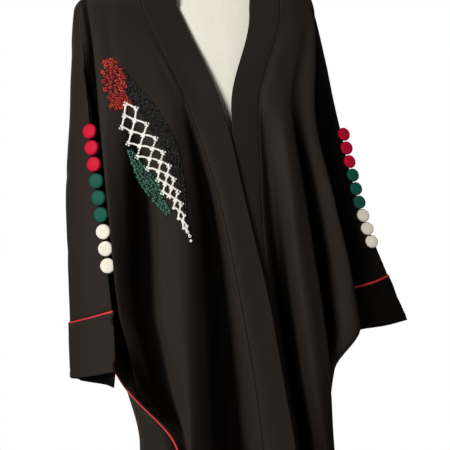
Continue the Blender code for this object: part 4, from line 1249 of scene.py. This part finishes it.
def make_buttons():
    """The covered buttons in the places of their nodes, faced as the cloth is there."""
    trims = bpy.context.scene.abaya_trims
    cloth = drape()
    profile = button_profile(trims.button_diameter, BUTTON_HEIGHT)
    colours = ("red", "green", "cream")
    for side in ("right", "left"):
        line = cloth.path(cloth.over_arm(side), 0, cloth.cuff_row)
        for n in range(BUTTONS_PER_SLEEVE):
            node = f"button_{side}_{n + 1}"
            slot = f"{colours[n // 3]}_button"
            low, high = (Vector(v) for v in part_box(node))
            centre = (low + high) / 2
            _, out = min(line, key=lambda found: (found[0] - centre).length)
            out = Matrix.Rotation(-math.radians(BUTTON_TURN[side]), 3, "Z") @ out
            obj = lathe(f"{node}_covered", profile, 40, finish_of(slot))
            turn = out.to_track_quat("Z", "Y").to_matrix().to_4x4()
            obj.data.transform(Matrix.Translation(centre - out * BUTTON_HEIGHT * BUTTON_SEAT) @ turn)
            worn(obj, slot, node)


def patch_half(s):
    """Half the patch's width at a share of its length."""
    s = min(1, max(0, s))
    return PATCH_HALF_WIDTH * math.sin(math.pi * s) ** (0.5 + 1.15 * s * s)


def patch_bow(s):
    """How far the patch's middle line lies to the wearer's left of the line from its top to its tip."""
    return PATCH_BOW * math.sin(7.5 * (s - 0.22)) + 0.010 * max(0, 1 - s / 0.12) ** 2


def patch_black_left(s):
    """Where the patch's black field starts, from -1 at its left edge to 1 at its right edge."""
    return min(0.84, max(1.75 - 8 * s, -0.1 + 0.8 * s))


def patch_net_left(s):
    """Where the patch's netted field starts."""
    if s < 0.66:
        return max(-0.88, -0.88 + 2.6 * (s - 0.42))
    return -0.256 - 1.4 * (s - 0.66)


def left_edge(s):
    """For fields that start at the patch's left edge all the way down."""
    return -1


def right_edge(s):
    """For fields that reach its right edge all the way down."""
    return 1


class Patch:
    """Places on the patch: along it from its top (0) to its tip (1), and across it (-1 to 1)."""

    def __init__(self):
        cloth = drape()
        self.tree = BVHTree.FromPolygons([tuple(p) for p in cloth.points], cloth.cells(*PATCH_LINES))
        self.top, tip = (Vector((x, 0, z)) for x, z in (PATCH_TOP, PATCH_TIP))
        self.axis = tip - self.top
        self.side = Vector((-self.axis.z, 0, self.axis.x)).normalized()

    def flat(self, s, w):
        """A place as it is seen from straight in front."""
        return self.top + self.axis * s + self.side * (patch_half(s) * w + patch_bow(s))

    def ground(self, spot):
        """The front's surface behind such a place, and its outward direction."""
        place, out, _, _ = self.tree.ray_cast(Vector((spot.x, -0.5, spot.z)), Vector((0, 1, 0)))
        return None if place is None else (place, out if out.y < 0 else -out)

    def at(self, s, w, lift=0.0):
        """The place on the cloth, its outward direction and the direction down the patch there."""
        found = self.ground(self.flat(s, w))
        if found is None:
            return None
        place, out = found
        ahead = self.flat(min(1, s + 0.01), w) - self.flat(max(0, s - 0.01), w)
        ahead -= out * ahead.dot(out)
        return place + out * lift, out, ahead.normalized()

    def rows(self, field, left, right, count):
        """A field's rows: each one's place along, its two ends across in metres, and the half width there."""
        start, end = field
        for r in range(count):
            s = start + (end - start) * (r + 0.5) / count
            half = patch_half(s)
            yield s, left(s) * half, right(s) * half, max(half, 1e-6)


class Beads:
    """Beads of one colour: where they lie, how they are turned and how large they are."""

    def __init__(self):
        self.places, self.outs, self.alongs, self.sizes = [], [], [], []

    def add(self, place, out, along, length, width):
        """One bead, with its back on the cloth and its length along a direction."""
        self.places.append(tuple(place))
        self.outs.append(tuple(out))
        self.alongs.append(tuple(along))
        self.sizes.append((width, width, length))

    def run(self, patch, start, end, width, length, lift, gap):
        """A row of beads sewn from one place on the patch to another."""
        a, b = patch.at(*start), patch.at(*end)
        if a is None or b is None:
            return
        count = max(1, round((b[0] - a[0]).length / (length * gap)))
        for n in range(count):
            t = (n + 0.5) / count
            found = patch.at(between(start[0], end[0], t), between(start[1], end[1], t), lift)
            if found is not None:
                self.add(found[0], found[1], (b[0] - a[0]).normalized(), length, width)


def bead_tree(name, finish, long):
    """Geometry nodes that set a bead on each point, turned and sized by the point's own values."""
    tree = bpy.data.node_groups.new(name, "GeometryNodeTree")
    for way in ("INPUT", "OUTPUT"):
        tree.interface.new_socket("Geometry", in_out=way, socket_type="NodeSocketGeometry")

    def node(kind, settings=None, **sockets):
        """A new node's first output, with its sockets set to values or joined to other nodes' outputs."""
        new = tree.nodes.new(kind)
        for key, value in (settings or {}).items():
            setattr(new, key, value)
        for key, value in sockets.items():
            if isinstance(value, bpy.types.NodeSocket):
                tree.links.new(value, new.inputs[key])
            else:
                new.inputs[key].default_value = value
        return new.outputs[0]

    def own(attribute):
        """A value that each point holds."""
        return node("GeometryNodeInputNamedAttribute", {"data_type": "FLOAT_VECTOR"}, Name=attribute)

    if long:
        bead = node("GeometryNodeMeshCylinder", Vertices=7, Radius=0.5, Depth=1.0)
    else:
        bead = node("GeometryNodeMeshUVSphere", Segments=8, Rings=5, Radius=0.5)
    align = "FunctionNodeAlignRotationToVector"
    upright = node(align, {"axis": "Z"}, Vector=own("along"))
    facing = node(align, {"axis": "X", "pivot_axis": "Z"}, Rotation=upright, Vector=own("out"))
    points = node("NodeGroupInput")
    size = own("size")
    beads = node("GeometryNodeInstanceOnPoints", Points=points, Instance=bead, Rotation=facing, Scale=size)
    real = node("GeometryNodeRealizeInstances", Geometry=beads)
    soft = node("GeometryNodeSetShadeSmooth", Geometry=real)
    coat = node("GeometryNodeSetMaterial", Geometry=soft, Material=finish)
    tree.links.new(coat, tree.nodes.new("NodeGroupOutput").inputs[0])
    return tree


def sewn(name, beads, finish, long):
    """All the beads of one kind, long or round, as one mesh."""
    mesh = bpy.data.meshes.new(name)
    mesh.from_pydata(beads.places, [], [])
    for key, values in (("out", beads.outs), ("along", beads.alongs), ("size", beads.sizes)):
        layer = mesh.attributes.new(key, "FLOAT_VECTOR", "POINT")
        for n, one in enumerate(values):
            layer.data[n].vector = one
    obj = placed(name, mesh)
    obj.modifiers.new("beads", "NODES").node_group = bead_tree(name, finish, long)
    plain_mesh(obj)
    obj.data.materials.clear()
    obj.data.materials.append(finish)
    return obj


def red_beads(patch):
    """Close florets, each of six beads round a seventh."""
    beads = Beads()
    settings = bpy.context.scene.abaya_patch
    rng = np.random.default_rng(21)
    pitch = settings.floret
    row = pitch * 0.87  # as close as round things pack
    count = round(patch.axis.length * (RED_FIELD[1] - RED_FIELD[0]) / row)
    for r, (s, low, high, half) in enumerate(patch.rows(RED_FIELD, left_edge, patch_black_left, count)):
        columns = max(1, round((high - low) / pitch))
        for c in range(columns):
            across = low + (high - low) * (c + 0.5 + 0.25 * (1 if r % 2 else -1)) / columns
            middle = patch.flat(s, (across + rng.uniform(-0.12, 0.12) * pitch) / half)
            start_turn = rng.uniform(0, 1)
            size = settings.bead * rng.uniform(0.85, 1.25)
            for n in range(7):
                turn = start_turn + n * math.pi / 3
                away = 0 if n == 6 else size * 1.05
                found = patch.ground(middle + Vector((math.cos(turn), 0, math.sin(turn))) * away)
                if found is None:
                    continue
                place, out = found
                along = Vector((-math.sin(turn), 0, math.cos(turn)))
                lift = 0.0008 + (0.0011 if n == 6 else 0)
                beads.add(place + out * lift, out, along - out * along.dot(out), size, size)
    return beads


def filled(patch, beads, field, left, right, pitch, length, width, lift, slant, seed):
    """Short beads in rows over a field, each turned by up to the slant from the patch's own direction."""
    rng = np.random.default_rng(seed)
    size = patch.axis.length
    for s, low, high, half in patch.rows(field, left, right, int(size * (field[1] - field[0]) / pitch)):
        columns = int((high - low) / pitch)
        for c in range(columns):
            w = (low + (high - low) * (c + 0.5 + rng.uniform(-0.25, 0.25)) / columns) / half
            found = patch.at(s + rng.uniform(-0.25, 0.25) * pitch / size, w, lift * rng.uniform(0.8, 1.5))
            if found is None:
                continue
            place, out, ahead = found
            angle = slant * rng.choice((-1, 1)) + rng.uniform(-0.35, 0.35)
            flat = ahead * math.cos(angle) + out.cross(ahead) * math.sin(angle)
            along = (flat + out * rng.uniform(-0.12, 0.12)).normalized()
            beads.add(place, out, along, length * rng.uniform(0.85, 1.15), width)


def net_beads(patch):
    """Strings of white beads in a net of slanting squares, with a small cross at each knot."""
    beads = Beads()
    size = bpy.context.scene.abaya_patch.net_bead

    def knot(row, n):
        """Knot n of a row, from 0 at the net's left edge to NET_CELLS at its right edge."""
        along = NET_START + NET_PITCH * (1 - NET_EASE ** row) / (1 - NET_EASE)
        s = along + NET_STEP * (n - 1) * NET_EASE ** max(0, row)
        left, right = patch_net_left(s), patch_black_left(s)
        return s, left + (right - left) * n / NET_CELLS

    def string(a, b, bow):
        """A string between two knots, bowed along the patch."""
        stops = [
            (between(a[0], b[0], t) + bow * math.sin(math.pi * t), between(a[1], b[1], t))
            for t in (0, 0.25, 0.5, 0.75, 1)
        ]
        for first, last in zip(stops, stops[1:]):
            beads.run(patch, first, last, size * NET_BEAD[0], size * NET_BEAD[1], NET_LIFT, NET_OVERLAP)

    def numbers(row):
        """The knots that a row has."""
        return range(max(0, 1 - row) if row < NET_TAIL else 1, NET_CELLS + 1)

    for row in range(-1, NET_ROWS):
        for n in numbers(row):
            if n + 1 in numbers(row):
                string(knot(row, n), knot(row, n + 1), NET_SAG)
            if row + 1 < NET_ROWS and n - 1 in numbers(row + 1):
                string(knot(row, n), knot(row + 1, n - 1), 0)
            found = patch.at(*knot(row, n), 0.0020)
            if found is None:
                continue
            spot, out, ahead = found
            across = out.cross(ahead)
            tick = size * (0.65 if row < NET_TAIL else 0.4)
            for turn in (ahead, across, -ahead, -across):
                beads.add(spot + turn * tick, out, turn, tick, size * 0.75)
    last = patch.at(NET_TIP, 0.0, NET_LIFT)
    if last:
        beads.add(*last, size * 1.1, size * 1.1)
    return beads


def make_patch():
    """The patch in national colours: florets, a net, and black and green grounds of short beads."""
    patch = Patch()
    bugle = bpy.context.scene.abaya_patch.bugle
    red, black, green = red_beads(patch), Beads(), Beads()
    # Each fill: its beads, field and edges, the beads' distance, length, width and lift, their turn and a seed
    for fill in (
        (black, BLACK_FIELD, patch_black_left, right_edge, 0.0028, 0.0042, 0.0019, 0.0008, 0.55, 3),
        (black, RED_FIELD, left_edge, patch_black_left, 0.0026, 0.0022, 0.0013, 0.0004, 0.8, 5),
        (black, GREEN_FIELD, left_edge, patch_net_left, 0.0024, 0.0024, 0.0013, 0.0003, 0.8, 7),
        (green, GREEN_FIELD, left_edge, patch_net_left, 0.0042, bugle, 0.0015, 0.0008, 0.8, 10),
        (green, GREEN_FIELD, left_edge, patch_net_left, 0.0042, bugle, 0.0015, 0.0013, 0.8, 11),
        (green, GREEN_FIELD, left_edge, patch_net_left, 0.0042, bugle, 0.0015, 0.0019, 0.8, 12),
    ):
        filled(patch, *fill)
    for colour, beads, long in (
        ("red", red, False), ("black", black, True),
        ("net", net_beads(patch), False), ("green", green, True),
    ):
        slot = f"{colour}_beads"
        worn(sewn(f"patch_{slot}", beads, finish_of(slot), long), slot, f"patch_{colour}")


def running_stitches(name, path, stitch):
    """Short stitches along a path of places and outward directions."""
    length, gap = stitch
    stitches = Beads()
    reach = 0.0
    for (a, out), (b, _) in zip(path, path[1:]):
        line = b - a
        size = line.length
        while reach < size:
            place = a + line * (reach / size) + out * STITCH_LIFT
            stitches.add(place, out, line.normalized(), length, THREAD_WIDTH)
            reach += length + gap
        reach -= size
    worn(sewn(name, stitches, finish_of("black_thread"), True), "black_cloth")


def make_stitches():
    """Stitching beside the bands' seams and round the hem."""
    cloth = drape()
    for name, line, away in (("band_right", 1, -1), ("band_left", 33, 1)):
        path = cloth.path(line)[2:]
        shifted = []
        for n, (place, out) in enumerate(path):
            ahead = path[min(n + 1, len(path) - 1)][0] - path[max(n - 1, 0)][0]
            side = out.cross(ahead).normalized() * away * -BAND_STITCH_AWAY
            shifted.append((place + side, out))
        running_stitches(f"{name}_stitches", shifted, BAND_STITCH)
    row = cloth.nearest_row(HEIGHTS["hem"] + HEM_DEPTH)
    for name, first, last in (("front_right", 1, 8), ("back", 13, 21), ("front_left", 26, 33)):
        path = [cloth.spot(cloth.where[(row, k)]) for k in cloth.row_keys(row, first, last)][1:-1]
        running_stitches(f"{name}_hem_stitches", path, HEM_STITCH)


def form_point(height, angle):
    """A place on the form's skin."""
    heights, *rows = zip(*FORM_SECTIONS)
    half, front, back = (monotone(heights, row, height * 1000) / 1000 for row in rows)
    c, s = math.cos(angle), math.sin(angle)
    power = 2 / FORM_SQUARENESS
    depth = back if s > 0 else front
    return Vector((
        math.copysign(abs(c) ** power, c) * half, math.copysign(abs(s) ** power, s) * depth, height,
    ))


def make_form():
    """The torso, smooth between its sections, kept clear of the cloth, with seams as a form's cover has."""
    cloth = drape()
    shell = BVHTree.FromPolygons([tuple(p) for p in cloth.points], cloth.cells())
    heights = metres(row[0] for row in FORM_SECTIONS)
    levels = []
    for upper, lower in zip(heights, heights[1:]):
        count = max(2, round((upper - lower) / FORM_ROW_STEP))
        levels += [upper + (lower - upper) * n / count for n in range(count)]
    levels.append(heights[-1])
    points, uvs, seam = [], [], []
    seams = [math.radians(v) for v in FORM_SEAMS]
    for height in levels:
        for n in range(FORM_SEGMENTS + 1):
            angle = 2 * math.pi * n / FORM_SEGMENTS - math.pi
            point = form_point(height, angle)
            near = max(bell(math.remainder(angle - v, 2 * math.pi) / FORM_SEAM_WIDTH) for v in seams)
            inward = Vector((-point.x, -point.y, 0)).normalized()
            point += inward * FORM_SEAM_DEPTH * near * (height < FORM_SEAM_TOP)
            place, out, _, _ = shell.find_nearest(point, 0.02)
            if place is not None:
                deep = (point - place).dot(out)
                wanted = BAND_WALL + FORM_CLEARANCE
                if deep > -wanted:
                    point -= out * (deep + wanted)
            points.append(point)
            uvs.append((angle * FORM_GIRTH_RADIUS, height))
            seam.append(near)
    faces = grid_faces(len(levels) - 1, FORM_SEGMENTS)
    top = list(range(FORM_SEGMENTS, 0, -1))
    foot = [(len(levels) - 1) * (FORM_SEGMENTS + 1) + n for n in range(FORM_SEGMENTS)]
    obj = mesh_object("form_cover", points, faces + [top, foot], finish_of("linen"), uvs, seam)
    shape = bmesh.new()
    shape.from_mesh(obj.data)
    bmesh.ops.remove_doubles(shape, verts=shape.verts, dist=1e-6)
    bmesh.ops.recalc_face_normals(shape, faces=shape.faces)
    shape.to_mesh(obj.data)
    shape.free()
    worn(obj, "linen", "form_torso")


def softened(profile, reach=0.0012):
    """A turned profile with its corners rounded."""
    found = [profile[0]]
    for before, here, after in zip(profile, profile[1:], profile[2:]):
        here_at = Vector(here)
        for t, other in ((0, before), (1, after)):
            line = Vector(other) - here_at
            amount = min(reach, line.length * 0.3)
            corner = here_at + line.normalized() * amount
            if t == 1:
                found.append(tuple(here_at.lerp((Vector(found[-1]) + corner) / 2, 0.55)))
            found.append(tuple(corner))
    return found + [profile[-1]]


def make_stand():
    """The neck cap with its knob, the pole and the floor disc with its hub."""
    top, foot = FORM_SECTIONS[0][0] / 1000 + SEAM_GAP, FORM_SECTIONS[-1][0] / 1000
    cap = softened((
        (CAP_RADIUS, 0), (CAP_RADIUS + 0.003, CAP_HEIGHT / 2), (CAP_RADIUS - 0.004, CAP_HEIGHT),
        (KNOB_RADIUS * 0.6, CAP_HEIGHT + 0.003), (KNOB_RADIUS, CAP_HEIGHT + KNOB_HEIGHT / 2),
        (KNOB_RADIUS * 0.6, CAP_HEIGHT + KNOB_HEIGHT),
    ))
    obj = lathe("neck_cap_turned", [(r, top + h) for r, h in cap], 96, finish_of("wood"))
    worn(obj, "wood", "neck_cap")
    low = BASE_HEIGHT + HUB_HEIGHT + SEAM_GAP
    pole = softened((
        (POLE_RADIUS - 0.0008, low), (POLE_RADIUS, low + 0.001), (POLE_RADIUS, foot - SEAM_GAP - 0.001),
        (POLE_RADIUS - 0.0008, foot - SEAM_GAP),
    ), 0.0005)
    worn(lathe("pole_tube", pole, 64, finish_of("dark_metal")), "dark_metal", "pole")
    base = softened((
        (BASE_RADIUS - 0.002, 0), (BASE_RADIUS, 0.003), (BASE_RADIUS, BASE_HEIGHT - 0.004),
        (BASE_RADIUS - 0.006, BASE_HEIGHT), (HUB_RADIUS + 0.004, BASE_HEIGHT + 0.002),
        (HUB_RADIUS - 0.006, BASE_HEIGHT + HUB_HEIGHT),
    ))
    worn(lathe("base_disc_turned", base, 128, finish_of("dark_metal")), "dark_metal", "base_disc")


def white_room(fill):
    """A world that is white to the camera and gives a soft light of its own."""
    world = bpy.data.worlds.new("white_room")
    bpy.context.scene.world = world
    world.use_nodes = True
    tree = world.node_tree
    backdrop = tree.nodes["Background"]
    glow = tree.nodes.new("ShaderNodeBackground")
    for node, colour, strength in ((backdrop, (1, 1, 1, 1), 1.0), (glow, (1.0, 0.99, 0.97, 1), fill)):
        node.inputs["Color"].default_value = colour
        node.inputs["Strength"].default_value = strength
    seen = tree.nodes.new("ShaderNodeLightPath")
    mix = tree.nodes.new("ShaderNodeMixShader")
    tree.links.new(seen.outputs["Is Camera Ray"], mix.inputs["Fac"])
    tree.links.new(glow.outputs[0], mix.inputs[1])
    tree.links.new(backdrop.outputs[0], mix.inputs[2])
    tree.links.new(mix.outputs[0], tree.nodes["World Output"].inputs["Surface"])


def make_stage():
    """A pale floor, a white room, soft studio lights and the photograph's camera."""
    scene = bpy.context.scene
    settings = scene.abaya_stage
    scene.view_settings.view_transform = "Standard"
    paint = Shade("floor_paint", roughness=0.9, specular=0.2)
    paint.colour(paint.noise(paint.mapped("Object", (3, 3, 3)), 1, 2), (0.80, 0.80, 0.79), (0.83, 0.83, 0.82))
    edge = ((1.795, -0.012), (1.8, -0.010), (1.8, -0.002), (1.798, -0.0005))
    floor = lathe("floor", edge, 160, paint.material)
    white_room(settings.fill)
    for name, place, aim, size, power in (
        ("key", (-2.0, -2.1, 2.1), (0, 0, 1.05), 0.8, settings.key),
        ("side", (2.2, -1.6, 1.3), (0.1, 0, 1.0), 1.2, settings.side),
        ("back", (-0.4, 2.6, 2.0), (0, 0, 1.0), 1.4, settings.back),
    ):
        light = bpy.data.lights.new(name, "AREA")
        light.shape = "SQUARE"
        light.size = size
        light.energy = power
        lamp = placed(name, light)
        lamp.location = place
        lamp.rotation_euler = (Vector(aim) - Vector(place)).to_track_quat("-Z", "Y").to_euler()
    turn = math.radians(CAMERA_TURN)
    ahead = Vector((math.sin(turn), math.cos(turn), 0))
    right = Vector((math.cos(turn), -math.sin(turn), 0))
    place = -ahead * CAMERA_DISTANCE + right * CAMERA_SHIFT
    place.z = CAMERA_HEIGHT
    turned = Matrix((right, Vector((0, 0, 1)), -ahead)).transposed().to_4x4()
    rolled = Matrix.Rotation(math.radians(CAMERA_ROLL), 4, "Z")
    lens = bpy.data.cameras.new("photograph")
    lens.lens = CAMERA_LENS
    lens.sensor_width = CAMERA_SENSOR
    lens.clip_start = 0.01
    camera = placed("photograph", lens)
    camera.matrix_world = Matrix.Translation(place) @ turned @ rolled
    scene.camera = camera


def length_setting(name, description, default, low, high):
    """A length that the user may change."""
    return bpy.props.FloatProperty(
        name=name, description=description, default=default, min=low, max=high,
        unit="LENGTH", subtype="DISTANCE")


def colour_setting(name, description, default):
    """A colour that the user may change."""
    return bpy.props.FloatVectorProperty(
        name=name, description=description, default=default, size=3, min=0, max=1, subtype="COLOR")


def power_setting(name, description, default):
    """A light's power that the user may change."""
    return bpy.props.FloatProperty(name=name, description=description, default=default, min=0, unit="POWER")


class AbayaCloth(bpy.types.PropertyGroup):
    crease_strength: bpy.props.FloatProperty(
        name="Crease strength", description="How deep the pressed-in creases are", default=1.0,
        min=0.0, max=1.5)
    colour: colour_setting("Cloth colour", "The crepe's colour", (0.0148, 0.0112, 0.0087))


class AbayaTrims(bpy.types.PropertyGroup):
    piping_radius: length_setting(
        "Piping radius", "Radius of the red cord in the seams", PIPING_RADIUS, 0.001, 0.004)
    piping_colour: colour_setting("Piping colour", "The cord's colour", (0.66, 0.030, 0.028))
    button_diameter: length_setting(
        "Button diameter", "Diameter of the covered buttons", BUTTON_DIAMETER, 0.01, 0.04)
    red: colour_setting("Red", "The red buttons' colour", (0.53, 0.002, 0.026))
    green: colour_setting("Green", "The green buttons' colour", (0.005, 0.082, 0.056))
    cream: colour_setting("Cream", "The cream buttons' colour", (0.80, 0.74, 0.61))


class AbayaPatch(bpy.types.PropertyGroup):
    bead: length_setting("Bead", "Diameter of the florets' beads", 0.0023, 0.001, 0.004)
    floret: length_setting("Floret", "Distance between the red field's florets", 0.0080, 0.004, 0.012)
    net_bead: length_setting("Net bead", "Diameter of the net's beads", 0.0046, 0.001, 0.006)
    bugle: length_setting("Bugle", "Length of the green field's beads", 0.0055, 0.002, 0.008)


class AbayaForm(bpy.types.PropertyGroup):
    linen: colour_setting("Linen", "The form's cover", (0.90, 0.845, 0.72))
    wood: colour_setting("Wood", "The neck cap's wood", (0.33, 0.19, 0.095))


class AbayaStage(bpy.types.PropertyGroup):
    key: power_setting("Key light", "Power of the large light at the camera's upper left", 100.0)
    side: power_setting("Side light", "Power of the light from the right", 1.5)
    back: power_setting("Back light", "Power of the light behind the garment", 28.0)
    fill: bpy.props.FloatProperty(
        name="Fill", description="Brightness of the white room's own light", default=0.072, min=0)


def operator(name, label, text, make):
    """An operator class that makes one piece, or one group of pieces."""

    def execute(self, context):
        make()
        return {"FINISHED"}

    return type(name, (bpy.types.Operator,), {
        "bl_idname": f"abaya.{label.lower()}", "bl_label": label, "__doc__": text,
        "bl_options": {"REGISTER", "UNDO"}, "execute": execute,
    })


OPERATORS = (
    operator("ABAYA_OT_form", "Form", "Make the linen torso", make_form),
    operator("ABAYA_OT_stand", "Stand", "Make the neck cap, the pole and the floor disc", make_stand),
    operator("ABAYA_OT_panels", "Panels", "Make the fronts and the back", make_panels),
    operator("ABAYA_OT_bands", "Bands", "Make the front bands and the neck band", make_bands),
    operator("ABAYA_OT_cuffs", "Cuffs", "Make the cuffs", make_cuffs),
    operator("ABAYA_OT_piping", "Piping", "Make the red cords in the seams", make_piping),
    operator("ABAYA_OT_buttons", "Buttons", "Make the covered buttons", make_buttons),
    operator("ABAYA_OT_patch", "Patch", "Sew the beaded patch", make_patch),
    operator("ABAYA_OT_stitches", "Stitches", "Sew the visible stitching", make_stitches),
    operator("ABAYA_OT_stage", "Stage", "Set the floor, the lights and the camera", make_stage),
)
GROUPS = (
    ("abaya_cloth", AbayaCloth), ("abaya_trims", AbayaTrims), ("abaya_patch", AbayaPatch),
    ("abaya_form", AbayaForm), ("abaya_stage", AbayaStage),
)


class ABAYA_PT_panel(bpy.types.Panel):
    """The abaya's sizes and its pieces"""

    bl_label = "Abaya"
    bl_idname = "ABAYA_PT_panel"
    bl_space_type = "VIEW_3D"
    bl_region_type = "UI"
    bl_category = "Abaya"

    def draw(self, context):
        for key, group in GROUPS:
            box = self.layout.box()
            box.label(text=key.replace("abaya_", "").capitalize())
            for name in group.__annotations__:
                box.prop(getattr(context.scene, key), name)
        for one in OPERATORS:
            self.layout.operator(one.bl_idname)


def register():
    """Registers the settings, the operators and the panel."""
    for key, group in GROUPS:
        bpy.utils.register_class(group)
        setattr(bpy.types.Scene, key, bpy.props.PointerProperty(type=group))
    for one in (*OPERATORS, ABAYA_PT_panel):
        bpy.utils.register_class(one)


def unregister():
    """Undoes register."""
    for one in (ABAYA_PT_panel, *reversed(OPERATORS)):
        bpy.utils.unregister_class(one)
    for key, group in reversed(GROUPS):
        delattr(bpy.types.Scene, key)
        bpy.utils.unregister_class(group)


def main():
    """Dresses the frame, piece by piece, and writes the sizes."""
    register()
    bpy.ops.abaya.form()
    bpy.ops.abaya.stand()
    bpy.ops.abaya.panels()
    bpy.ops.abaya.bands()
    bpy.ops.abaya.cuffs()
    bpy.ops.abaya.piping()
    bpy.ops.abaya.buttons()
    bpy.ops.abaya.patch()
    bpy.ops.abaya.stitches()
    bpy.ops.abaya.stage()
    bpy.context.view_layer.update()


if __name__ == "__main__":
    main()
